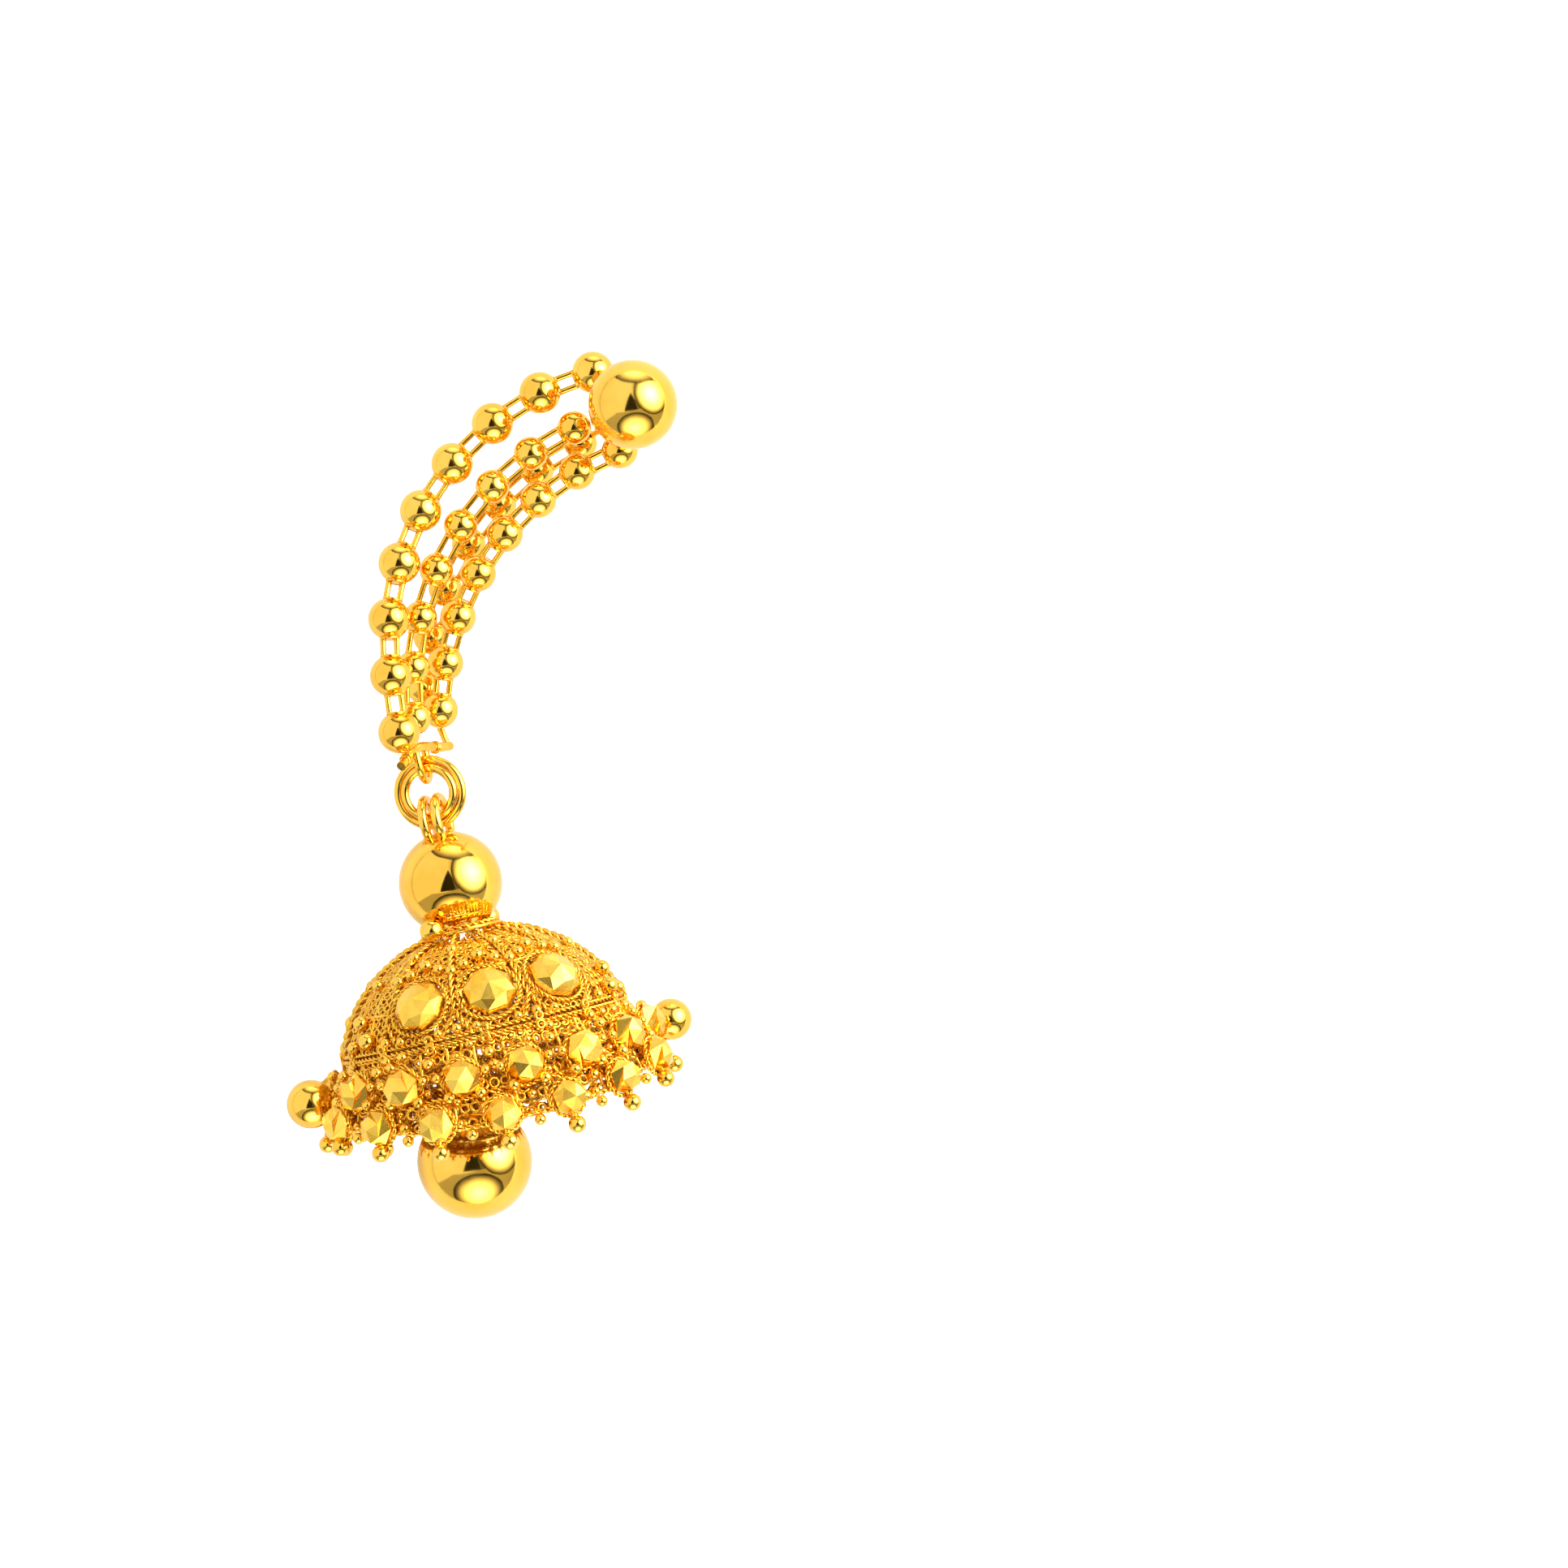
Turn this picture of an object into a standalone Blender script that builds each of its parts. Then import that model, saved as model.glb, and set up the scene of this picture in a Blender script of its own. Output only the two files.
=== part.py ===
"""Bell drop earring in polished yellow gold, hanging from its ear post.

Frame: +X to the wearer's side that the drop faces when seen from the front, +Y towards the ear
lobe and +Z up. The origin is where the post enters the lobe. Lengths below are in millimetres and
MM turns them into metres.
"""

import math

import bmesh
import bpy
from mathutils import Matrix, Vector

MM = 0.001
GAP = 0.28

# Stem: a crescent of bead strands, turned as a whole about the stud so that the drop hangs plumb
STEM_TURN = 13.0
STEM_DEPTH = -3.0
STUD_BALL_RADIUS = 2.75
STUD_BALL_DEPTH = -3.0
POST_RADIUS = 0.45
POST_TIP = 9.5
PLATE_RADIUS = 1.2
PLATE_THICKNESS = 0.7
PETAL_RADIUS = 0.42
PETAL_WIRE = 0.16
PETAL_BITE = 0.1
ARM_RADIUS = 0.22
MIDDLE_ARM_START = (-0.8, -0.3)
BACK_ARM_START = (-0.8, -0.5)
BEAD_SIDES = 12
BEAD_RINGS = 6
LINK_RADIUS = 0.19
LINK_SPREAD = 0.42
LINK_SIDES = 5
LINK_START_SHARE = 0.7

# Each strand in the stem's own plane: arc centre and radius, angle of the first bead above the
# level, where the arc runs out into a straight line, depth at the top and at the foot
STRANDS = {
    "outer_strand": dict(
        centre=(1.9, -14.15), arc=16.9, first=74.8, straight_below=-8.2, count=9, pitch=3.5,
        bead=1.3, depth_top=0.0, depth_foot=-2.3, sides=12, rings=6, link_wires=2,
    ),
    "middle_strand": dict(
        centre=(3.85, -17.05), arc=17.5, first=64.5, straight_below=-20.0, count=8, pitch=3.115,
        bead=1.05, depth_top=0.0, depth_foot=0.05, sides=12, rings=6, link_wires=2,
    ),
    "inner_strand": dict(
        centre=(5.7, -19.15), arc=17.75, first=68.3, straight_below=-20.0, count=8, pitch=2.95,
        bead=1.125, depth_top=0.0, depth_foot=1.9, sides=12, rings=6, link_wires=2,
    ),
    "back_strand": dict(
        centre=(4.8, -18.1), arc=18.0, first=63.0, straight_below=-20.0, count=7, pitch=3.15,
        bead=1.05, depth_top=2.4, depth_foot=3.7, sides=10, rings=5, link_wires=1,
    ),
}
DEPTH_TURN_START = 0.35
DEPTH_TURN_END = 0.9

# Hanging gear, in the world frame
AXIS_X = -17.6
AXIS_Y = -3.0
RING_TURN = 12.0
RING_CENTRE_Z = -20.3
RING_RADIUS = 1.78
RING_WIRE = 0.27
RING_SPACING = 0.25
RING_REACH = RING_SPACING + RING_WIRE
RING_SEGMENTS = 16
EYE_WIRE = 0.25
EYE_RADIUS = 1.1
EYE_BELOW_RING = RING_REACH + EYE_WIRE + 0.25
BAR_TURN = 28.0
BAR_WIRE = 0.3
# The bar's line: distance along the ring's normal, and how far it lies below its highest point
BAR_LINE = ((-2.6, 0.95), (-1.2, 0.3), (0.0, 0.0), (1.1, 0.08), (2.1, 0.24), (3.6, 0.3))
EYE_HALF_STEPS = 8
EYE_ENDS_BELOW = (0.15, 0.3)
TIE_START = 0.2
BAIL_RADIUS = 1.42
BAIL_WIRE = 0.3
BAIL_SPACING = 0.42
GROOVE_SHARE = 0.45
TOP_BALL_RADIUS = 3.2
TOP_BALL_Z = -26.0

# Bell: an elliptical dome, turned a little about its axis
BELL_TURN = 9.0
DOME_RADIUS = 8.9
DOME_HEIGHT = 8.0
DOME_CENTRE_Z = -37.1
DOME_WALL = 0.5
RIB_RAISE = 0.25
CREST_RAISE = 0.4
COLLAR_RADIUS = 2.35
COLLAR_WIRE = 0.3
COLLAR_Z = -28.85
NECK_GRANULE_RADIUS = 0.75
NECK_GRANULE_PLACE = (3.1, -28.6)
NECK_GRANULE_ANGLES = (-32.0, 148.0)
BOSS_POLAR = 58.8
BOSS_RISE = 1.05
BOSS_SIDES = 8
# The boss from seat to facets: radius and height over the wall
BOSS_LEVELS = ((2.1, -0.42), (2.1, -0.02), (1.65, 0.3), (1.53, 0.55))

# Dome grid, in degrees: a half of the pattern, which repeats once on the other side
PANEL_CENTRES = (-33.0, 0.0, 33.0)
PANEL_HALF = 13.5
PANEL_STEM = 1.2
RIB_OFFSET = 16.5
RIB_EDGE = 19.5
SIDE_EDGES = (62.0, 64.0, 73.5, 75.5, 84.5, 87.0, 93.0, 95.5, 104.5, 106.5, 116.0, 118.0)
SIDE_WINDOWS = ((52.5, 62.0), (64.0, 73.5), (75.5, 84.5), (95.5, 104.5), (106.5, 116.0), (118.0, 127.5))
TOP_SIDE_WINDOWS = ((52.5, 73.5), (106.5, 127.5))
DOME_ROWS = (8.4, 15.0, 28.0, 31.0, 43.0, 46.5, 58.0, 60.5, 72.0, 75.2)
TOP_ROW, MIDDLE_ROW, BOSS_ROWS, LACE_ROWS = 1, 3, (5, 6, 7), (5, 7)
CREST_COLUMNS = (87.0, 93.0)

# Skirt: sixteen units round the bell
UNITS = 16
UNIT_ANGLE = 360.0 / UNITS
UPPER_BEAD_ANGLE = 14.2
SKIRT_WALL = 0.5
SKIRT_DROOP = 1.9
UPPER_BEAD = dict(radius=1.15, reach=10.1, z=-36.95, droop=0.35)
LOWER_BEAD = dict(radius=1.05, reach=10.75, z=-38.55, droop=0.85)
FRINGE_GRANULE = dict(radius=0.55, reach=10.95, z=-39.95, droop=1.0)
FRINGE_STALK = 0.2
FACET_SIDES = 8
FACET_RINGS = 4
GRANULE_RINGS = 3
END_BALL_REACH = 11.43
END_BALL_Z = -37.3
END_BALL_LEFT_RADIUS = 1.5
END_BALL_RIGHT_RADIUS = 1.3
END_STUB_RADIUS = 0.35
STUB_ROW = 3

# Skirt rows: reach from the axis, height at the ends, share of the droop, carriers kept there
SKIRT_ROWS = (
    dict(reach=8.6, z=-35.45, droop=0.0),
    dict(reach=8.75, z=-36.05, droop=0.05),
    dict(reach=9.25, z=-36.9, droop=0.35),
    dict(reach=9.6, z=-37.6, droop=0.65),
    dict(reach=9.75, z=-38.0, droop=0.75),
    dict(reach=10.1, z=-39.0, droop=0.9),
)
ALL_ROUND, UPPER_ONLY, LOWER_ONLY = "all round", "upper", "lower"
SKIRT_KEPT = (ALL_ROUND, UPPER_ONLY, UPPER_ONLY, ALL_ROUND, LOWER_ONLY)
UPPER_CARRIER_HALF = 5.4

# Bottom ball and the bar that it hangs on
CROSS_BAR_Z = -35.75
CROSS_BAR_RADIUS = 0.4
CROSS_BAR_HALF = 7.75
BOTTOM_BALL_RADIUS = 3.55
BOTTOM_BALL_X = -20.0
BOTTOM_BALL_Z = -43.05
LOOP_RADIUS = 1.0
LOOP_WIRE = 0.28
STALK_FOOT = 3.2


def clear_scene():
    """Remove every object that the file opened with."""
    for item in list(bpy.data.objects):
        bpy.data.objects.remove(item, do_unlink=True)


def gold(name, colour, roughness):
    """A polished gold alloy with its own base colour and roughness."""
    material = bpy.data.materials.new(name)
    material.use_nodes = True
    shader = material.node_tree.nodes["Principled BSDF"]
    shader.inputs["Base Color"].default_value = (*colour, 1.0)
    shader.inputs["Metallic"].default_value = 1.0
    shader.inputs["Roughness"].default_value = roughness
    return material


def empty(name, place, turn_y=0.0, parent=None):
    """A pivot or carrier that pieces hang on."""
    pivot = bpy.data.objects.new(name, None)
    pivot.location = Vector(place) * MM
    pivot.rotation_euler = (0.0, math.radians(turn_y), 0.0)
    pivot.parent = parent
    bpy.context.collection.objects.link(pivot)
    return pivot


def mesh_object(name, shape, material, parent=None, origin=(0, 0, 0)):
    """Make an object of a bmesh in millimetres whose own origin is at the given point."""
    bmesh.ops.translate(shape, verts=shape.verts, vec=-Vector(origin))
    bmesh.ops.scale(shape, verts=shape.verts, vec=(MM, MM, MM))
    bmesh.ops.recalc_face_normals(shape, faces=shape.faces)
    mesh = bpy.data.meshes.new(name)
    shape.to_mesh(mesh)
    shape.free()
    mesh.materials.append(material)
    mesh.shade_smooth()
    mesh.set_sharp_from_angle(angle=math.radians(40))
    item = bpy.data.objects.new(name, mesh)
    item.location = Vector(origin) * MM
    item.parent = parent
    bpy.context.collection.objects.link(item)
    return item


def fuse(base, extra_shape):
    """Weld a bmesh of further pieces to an object with a live Boolean union."""
    origin = base.location / MM
    guide = mesh_object(f"{base.name}_added", extra_shape, base.data.materials[0], base.parent, origin)
    guide.hide_render = True
    guide.display_type = "WIRE"
    union = base.modifiers.new("union", "BOOLEAN")
    union.operation = "UNION"
    union.solver = "EXACT"
    union.use_self = True
    union.object = guide
    return base


def add_ball(shape, centre, radius, sides=BEAD_SIDES, rings=BEAD_RINGS, axis=(0, 0, 1)):
    """Add a round or cut bead whose poles lie on the axis."""
    turn = Vector((0, 0, 1)).rotation_difference(Vector(axis)).to_matrix().to_4x4()
    bmesh.ops.create_uvsphere(
        shape, u_segments=sides, v_segments=rings, radius=radius,
        matrix=Matrix.Translation(Vector(centre)) @ turn,
    )


def add_rod(shape, start, end, radius, sides=LINK_SIDES):
    """Add a straight wire between two points."""
    start = Vector(start)
    run = Vector(end) - start
    turn = Vector((0, 0, 1)).rotation_difference(run).to_matrix().to_4x4()
    bmesh.ops.create_cone(
        shape, cap_ends=True, segments=sides, radius1=radius, radius2=radius, depth=run.length,
        matrix=Matrix.Translation(start + run / 2) @ turn,
    )


def add_sweep(shape, path, section, sideways, closed=False):
    """Sweep a section of (side, up) pairs along a path that lies in one plane.

    sideways is the normal of that plane, and the section's first number runs along it.
    """
    sideways = Vector(sideways).normalized()
    path = [Vector(point) for point in path]
    rows = []
    for index, point in enumerate(path):
        before = path[index - 1] if closed or index else point
        after = path[(index + 1) % len(path)] if closed or index + 1 < len(path) else point
        up = sideways.cross((after - before).normalized())
        rows.append([shape.verts.new(point + sideways * s + up * u) for s, u in section])
    pairs = list(zip(rows, rows[1:]))
    if closed:
        pairs.append((rows[-1], rows[0]))
    for one, two in pairs:
        for k in range(len(section)):
            m = (k + 1) % len(section)
            shape.faces.new((one[k], one[m], two[m], two[k]))
    if not closed:
        shape.faces.new(rows[0])
        shape.faces.new(list(reversed(rows[-1])))


def round_section(radius, sides=6):
    """A round wire's section."""
    turns = [math.tau * (k + 0.5) / sides for k in range(sides)]
    return [(radius * math.cos(a), radius * math.sin(a)) for a in turns]


def double_section(radius, half_spacing):
    """The section of two wires laid side by side across the plane and soldered along the groove."""
    right = [(half_spacing + radius * math.cos(a), radius * math.sin(a))
             for a in (math.radians(d) for d in (-90, -30, 30, 90))]
    left = [(-s, -u) for s, u in right]
    groove = radius * GROOVE_SHARE
    return right + [(0.0, groove)] + left + [(0.0, -groove)]


def stacked_section(radius, half_spacing):
    """The section of two wires laid one outside the other in the plane."""
    return [(u, s) for s, u in double_section(radius, half_spacing)]


def circle_path(centre, radius, one, two, segments):
    """Points round a circle in the plane of two unit directions."""
    turns = [math.tau * k / segments for k in range(segments)]
    return [Vector(centre) + Vector(one) * radius * math.cos(a) + Vector(two) * radius * math.sin(a)
            for a in turns]


def bead_centres(strand):
    """Bead centres of a strand in the stem's frame, evenly stepped along its arc."""
    cx, cz = strand["centre"]
    last = strand["count"] - 1
    step = math.degrees(strand["pitch"] / strand["arc"])
    centres = []
    for k in range(strand["count"]):
        angle = strand["first"] - step * k
        bend = max(angle, strand["straight_below"])
        beyond = strand["arc"] * math.radians(bend - angle)
        a = math.radians(bend)
        x = cx - strand["arc"] * math.cos(a) - beyond * math.sin(a)
        z = cz + strand["arc"] * math.sin(a) - beyond * math.cos(a)
        t = (k / last - DEPTH_TURN_START) / (DEPTH_TURN_END - DEPTH_TURN_START)
        t = min(max(t, 0.0), 1.0)
        blend = t * t * (3 - 2 * t)
        depth = strand["depth_top"] + (strand["depth_foot"] - strand["depth_top"]) * blend
        centres.append(Vector((x, depth, z)))
    return centres


def make_strand(name, strand, material, stem):
    """One strand: beads, and between each two a link of two short parallel wires."""
    centres = bead_centres(strand)
    shape = bmesh.new()
    links = bmesh.new()
    for k, centre in enumerate(centres):
        along = (centres[min(k + 1, len(centres) - 1)] - centres[max(k - 1, 0)]).normalized()
        add_ball(shape, centre, strand["bead"], strand["sides"], strand["rings"], axis=along)
        if k + 1 < len(centres):
            run = (centres[k + 1] - centre).normalized()
            aside = run.cross(Vector((0, 1, 0))).normalized() * LINK_SPREAD
            inset = run * strand["bead"] * LINK_START_SHARE
            sides = (aside, -aside) if strand["link_wires"] == 2 else (Vector(),)
            for side in sides:
                add_rod(links, centre + inset + side, centres[k + 1] - inset + side, LINK_RADIUS)
    return fuse(mesh_object(name, shape, material, stem), links)


def add_arm(shape, start, bead_centre, bead_radius):
    """A wire from a point to just short of a bead."""
    run = bead_centre - start
    reach = run.length - bead_radius - GAP
    add_rod(shape, start, start + run.normalized() * reach, ARM_RADIUS)


def make_stud(materials, stem):
    """The post, the stud ball and the soldered plate between them."""
    shape = bmesh.new()
    add_ball(shape, (0, STUD_BALL_DEPTH, 0), STUD_BALL_RADIUS, 16, 8, axis=(0, 1, 0))
    mesh_object("stud_ball", shape, materials["polished"], stem)

    plate_front = STUD_BALL_DEPTH + STUD_BALL_RADIUS + GAP
    plate_back = plate_front + PLATE_THICKNESS
    shape = bmesh.new()
    add_rod(shape, (0, plate_front, 0), (0, plate_back, 0), PLATE_RADIUS, 16)
    bracket = mesh_object("top_bracket", shape, materials["wire"], stem)
    petals = bmesh.new()
    middle = (plate_front + plate_back) / 2
    petal = (-PLATE_RADIUS - PETAL_RADIUS + PETAL_BITE, middle, 0.0)
    ring = circle_path(petal, PETAL_RADIUS, (1, 0, 0), (0, 0, 1), 10)
    add_sweep(petals, ring, round_section(PETAL_WIRE, 5), (0, 1, 0), closed=True)
    for name, (x, z) in (("middle_strand", MIDDLE_ARM_START), ("back_strand", BACK_ARM_START)):
        add_arm(petals, Vector((x, middle, z)), bead_centres(STRANDS[name])[0], STRANDS[name]["bead"])
    fuse(bracket, petals)

    shape = bmesh.new()
    post_start = STEM_DEPTH + plate_back + GAP
    add_rod(shape, (0, post_start, 0), (0, POST_TIP, 0), POST_RADIUS, 12)
    mesh_object("ear_post", shape, materials["polished"])


def level_directions(degrees):
    """A level unit vector turned from +Y towards +X, and the level one square to it."""
    turn = math.radians(degrees)
    normal = Vector((math.sin(turn), math.cos(turn), 0))
    level = Vector((math.cos(turn), -math.sin(turn), 0))
    return normal, level


def make_end_eye(materials):
    """The bar under the last beads and the eye that goes down through the jump ring."""
    normal, level = level_directions(RING_TURN)
    bar_run, bar_level = level_directions(BAR_TURN)
    ring_top = RING_CENTRE_Z + RING_RADIUS
    centre_z = ring_top - EYE_BELOW_RING + EYE_RADIUS
    place = Vector((AXIS_X, AXIS_Y, 0))

    def point(along, z):
        return place + normal * along + Vector((0, 0, z))

    bar_top = ring_top + RING_REACH + GAP + BAR_WIRE
    bar = [place + bar_run * along + Vector((0, 0, bar_top - below)) for along, below in BAR_LINE]
    shape = bmesh.new()
    add_sweep(shape, bar, round_section(BAR_WIRE), bar_level)
    eye = mesh_object("end_eye", shape, materials["wire"])
    turns = [math.pi * k / EYE_HALF_STEPS for k in range(EYE_HALF_STEPS + 1)]
    half = [point(EYE_RADIUS * math.cos(a), centre_z - EYE_RADIUS * math.sin(a)) for a in turns]
    near, far = (bar_top - below for below in EYE_ENDS_BELOW)
    loop = [point(EYE_RADIUS, near)] + half + [point(-EYE_RADIUS, far)]
    extra = bmesh.new()
    add_sweep(extra, loop, round_section(EYE_WIRE), level)
    turn = Matrix.Rotation(math.radians(STEM_TURN), 4, "Y")
    last = turn @ bead_centres(STRANDS["back_strand"])[-1] + Vector((0, STEM_DEPTH, 0))
    add_arm(extra, bar[-1] - bar_run * TIE_START, last, STRANDS["back_strand"]["bead"])
    fuse(eye, extra)


def make_jump_ring(materials, pivot):
    """A ring wound twice round, hanging on the eye."""
    normal, level = level_directions(RING_TURN)
    centre = Vector((AXIS_X, AXIS_Y, RING_CENTRE_Z))
    shape = bmesh.new()
    path = circle_path(centre, RING_RADIUS, level, (0, 0, 1), RING_SEGMENTS)
    add_sweep(shape, path, stacked_section(RING_WIRE, RING_SPACING), normal, closed=True)
    shape_origin = pivot.location / MM
    ring = mesh_object("jump_ring", shape, materials["wire"], None, shape_origin)
    ring.parent = pivot
    ring.location = (0, 0, 0)


def hang(item, pivot):
    """Parent an object that has its place in its mesh to a pivot, and leave it where it is."""
    item.parent = pivot
    item.matrix_parent_inverse = Matrix.Translation(-world_place(pivot))
    for other in bpy.data.objects:
        if other.name == f"{item.name}_added":
            other.parent = pivot
            other.matrix_parent_inverse = Matrix.Translation(-world_place(pivot))


def world_place(pivot):
    """Place of a pivot whose parents are unturned pivots."""
    place = pivot.location.copy()
    while pivot.parent:
        pivot = pivot.parent
        place += pivot.location
    return place


def make_top_ball(materials):
    """The ball over the bell with its bail round the ring's lowest wire."""
    normal, level = level_directions(RING_TURN)
    pivot = Vector((AXIS_X, AXIS_Y, RING_CENTRE_Z - RING_RADIUS))
    shape = bmesh.new()
    add_ball(shape, (AXIS_X, AXIS_Y, TOP_BALL_Z), TOP_BALL_RADIUS, 16, 8)
    ball = mesh_object("top_ball", shape, materials["polished"])
    extra = bmesh.new()
    path = circle_path(pivot, BAIL_RADIUS, normal, (0, 0, 1), 12)
    add_sweep(extra, path, double_section(BAIL_WIRE, BAIL_SPACING), level, closed=True)
    return fuse(ball, extra)


def make_neck_collar(materials):
    """The wire collar on top of the dome with its two granules."""
    shape = bmesh.new()
    path = circle_path((AXIS_X, AXIS_Y, COLLAR_Z), COLLAR_RADIUS, (1, 0, 0), (0, 1, 0), 16)
    add_sweep(shape, path, round_section(COLLAR_WIRE), (0, 0, 1), closed=True)
    collar = mesh_object("neck_collar", shape, materials["wire"])
    reach, z = NECK_GRANULE_PLACE
    extra = bmesh.new()
    for angle in NECK_GRANULE_ANGLES:
        add_ball(extra, round_place(angle, reach, z), NECK_GRANULE_RADIUS, 10, 5)
    return fuse(collar, extra)


def round_place(angle, reach, z):
    """A point round the bell's axis; the angle runs from the front towards +X."""
    a = math.radians(angle)
    return Vector((AXIS_X + reach * math.sin(a), AXIS_Y - reach * math.cos(a), z))


def dome_point(angle, polar, raised=0.0):
    """A point on the dome's outer face, or that far outside it."""
    p = math.radians(polar)
    place = round_place(angle, DOME_RADIUS * math.sin(p), DOME_CENTRE_Z + DOME_HEIGHT * math.cos(p))
    outward = round_place(angle, math.sin(p) / DOME_RADIUS, math.cos(p) / DOME_HEIGHT)
    outward -= Vector((AXIS_X, AXIS_Y, 0))
    return place + outward.normalized() * raised


def add_lattice(shape, columns, rows, is_open, outer, inner):
    """Add a closed wall round the axis, with the open cells cut through.

    outer and inner turn a column angle and a row index into points on the two faces.
    """
    count = len(columns)
    front = [[shape.verts.new(outer(a, r)) for r in range(len(rows))] for a in columns]
    back = [[shape.verts.new(inner(a, r)) for r in range(len(rows))] for a in columns]

    def kept(i, j):
        return 0 <= j < len(rows) - 1 and not is_open(i % count, j)

    for i in range(count):
        n = (i + 1) % count
        for j in range(len(rows) - 1):
            if not kept(i, j):
                continue
            shape.faces.new((front[i][j], front[i][j + 1], front[n][j + 1], front[n][j]))
            shape.faces.new((back[i][j], back[n][j], back[n][j + 1], back[i][j + 1]))
            walls = (
                ((i, j), (n, j), kept(i, j - 1)),
                ((n, j), (n, j + 1), kept(i + 1, j)),
                ((n, j + 1), (i, j + 1), kept(i, j + 1)),
                ((i, j + 1), (i, j), kept(i - 1, j)),
            )
            for (a, b), (c, d), joined in walls:
                if not joined:
                    shape.faces.new((front[a][b], front[c][d], back[c][d], back[a][b]))


def dome_columns():
    """Column angles of half the dome's grid, with a raised line in the middle of each rib."""
    half = []
    for centre in PANEL_CENTRES:
        half += [centre - RIB_OFFSET, centre - PANEL_HALF, centre - PANEL_STEM,
                 centre + PANEL_STEM, centre + PANEL_HALF]
    half += [PANEL_CENTRES[-1] + RIB_OFFSET, PANEL_CENTRES[-1] + RIB_EDGE]
    half += SIDE_EDGES
    half.append(180.0 + PANEL_CENTRES[0] - RIB_EDGE)
    return half


def raised_column(angle):
    """How far the ribs and the crest stand out of the wall at a column."""
    if angle in CREST_COLUMNS:
        return CREST_RAISE
    if any(abs(angle - c) == RIB_OFFSET for c in PANEL_CENTRES):
        return RIB_RAISE
    return 0.0


def dome_opening(low, high, row):
    """Whether the cell between two column angles is pierced in a row."""
    for centre in PANEL_CENTRES:
        if centre - PANEL_HALF <= low and high <= centre + PANEL_HALF:
            stem = low == centre - PANEL_STEM
            return row == TOP_ROW or row in BOSS_ROWS or (row == MIDDLE_ROW and not stem)
    if row == TOP_ROW:
        return any(start <= low < end for start, end in TOP_SIDE_WINDOWS)
    if row == MIDDLE_ROW or row in LACE_ROWS:
        return any(low == start for start, _ in SIDE_WINDOWS)
    return False


def make_dome(materials):
    """The pierced dome with its ribs, crest and cut bosses."""
    half = dome_columns()
    columns = [(a, turn) for turn in (0.0, 180.0) for a in half]
    ends = half[1:] + [half[0] + 180.0]
    lookup = {i: (half[i % len(half)], ends[i % len(half)]) for i in range(len(columns))}

    def outer(column, row):
        angle, turn = column
        raised = raised_column(angle) if row >= 2 else 0.0
        return dome_point(angle + turn + BELL_TURN, DOME_ROWS[row], raised)

    def inner(column, row):
        angle, turn = column
        return dome_point(angle + turn + BELL_TURN, DOME_ROWS[row], -DOME_WALL)

    def is_open(i, j):
        low, high = lookup[i]
        return dome_opening(low, high, j)

    shape = bmesh.new()
    add_lattice(shape, columns, DOME_ROWS, is_open, outer, inner)
    dome = mesh_object("dome", shape, materials["filigree"])
    bosses = bmesh.new()
    for turn in (0.0, 180.0):
        for centre in PANEL_CENTRES:
            add_boss(bosses, centre + turn + BELL_TURN)
    return fuse(dome, bosses)


def add_boss(shape, angle):
    """A cut boss: a seat in the wall, a girdle, and facets that meet in a point."""
    foot = dome_point(angle, BOSS_POLAR)
    outward = (dome_point(angle, BOSS_POLAR, 1.0) - foot).normalized()
    aside = Vector((0, 0, 1)).cross(outward).normalized()
    up = outward.cross(aside)
    rings = []
    for radius, height in BOSS_LEVELS:
        path = circle_path(foot + outward * height, radius, aside, up, BOSS_SIDES)
        rings.append([shape.verts.new(p) for p in path])
    for one, two in zip(rings, rings[1:]):
        for k in range(BOSS_SIDES):
            m = (k + 1) % BOSS_SIDES
            shape.faces.new((one[k], one[m], two[m], two[k]))
    point = shape.verts.new(foot + outward * BOSS_RISE)
    for k in range(BOSS_SIDES):
        shape.faces.new((rings[-1][k], rings[-1][(k + 1) % BOSS_SIDES], point))
    shape.faces.new(list(reversed(rings[0])))


def droop(angle):
    """Share of the skirt's droop: none at the two ends and full at the front and back."""
    return 1.0 - abs(math.sin(math.radians(angle - BELL_TURN))) ** 3


def skirt_point(angle, row, raised=0.0):
    """A point on the skirt's outer face in a row, or that far outside it."""
    spec = SKIRT_ROWS[row]
    return round_place(angle, spec["reach"] + raised, spec["z"] - SKIRT_DROOP * spec["droop"] * droop(angle))


def bead_place(spec, angle):
    """Centre of a skirt bead at an angle."""
    return round_place(angle, spec["reach"], spec["z"] - SKIRT_DROOP * spec["droop"] * droop(angle))


def end_angles():
    """Angles of the two ends, left and right."""
    return BELL_TURN - 90.0, BELL_TURN + 90.0


def near_end(angle, room):
    """Whether a bead would stand closer than a number of degrees to an end ball."""
    return any(abs((angle - end + 180.0) % 360.0 - 180.0) < room for end in end_angles())


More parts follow.
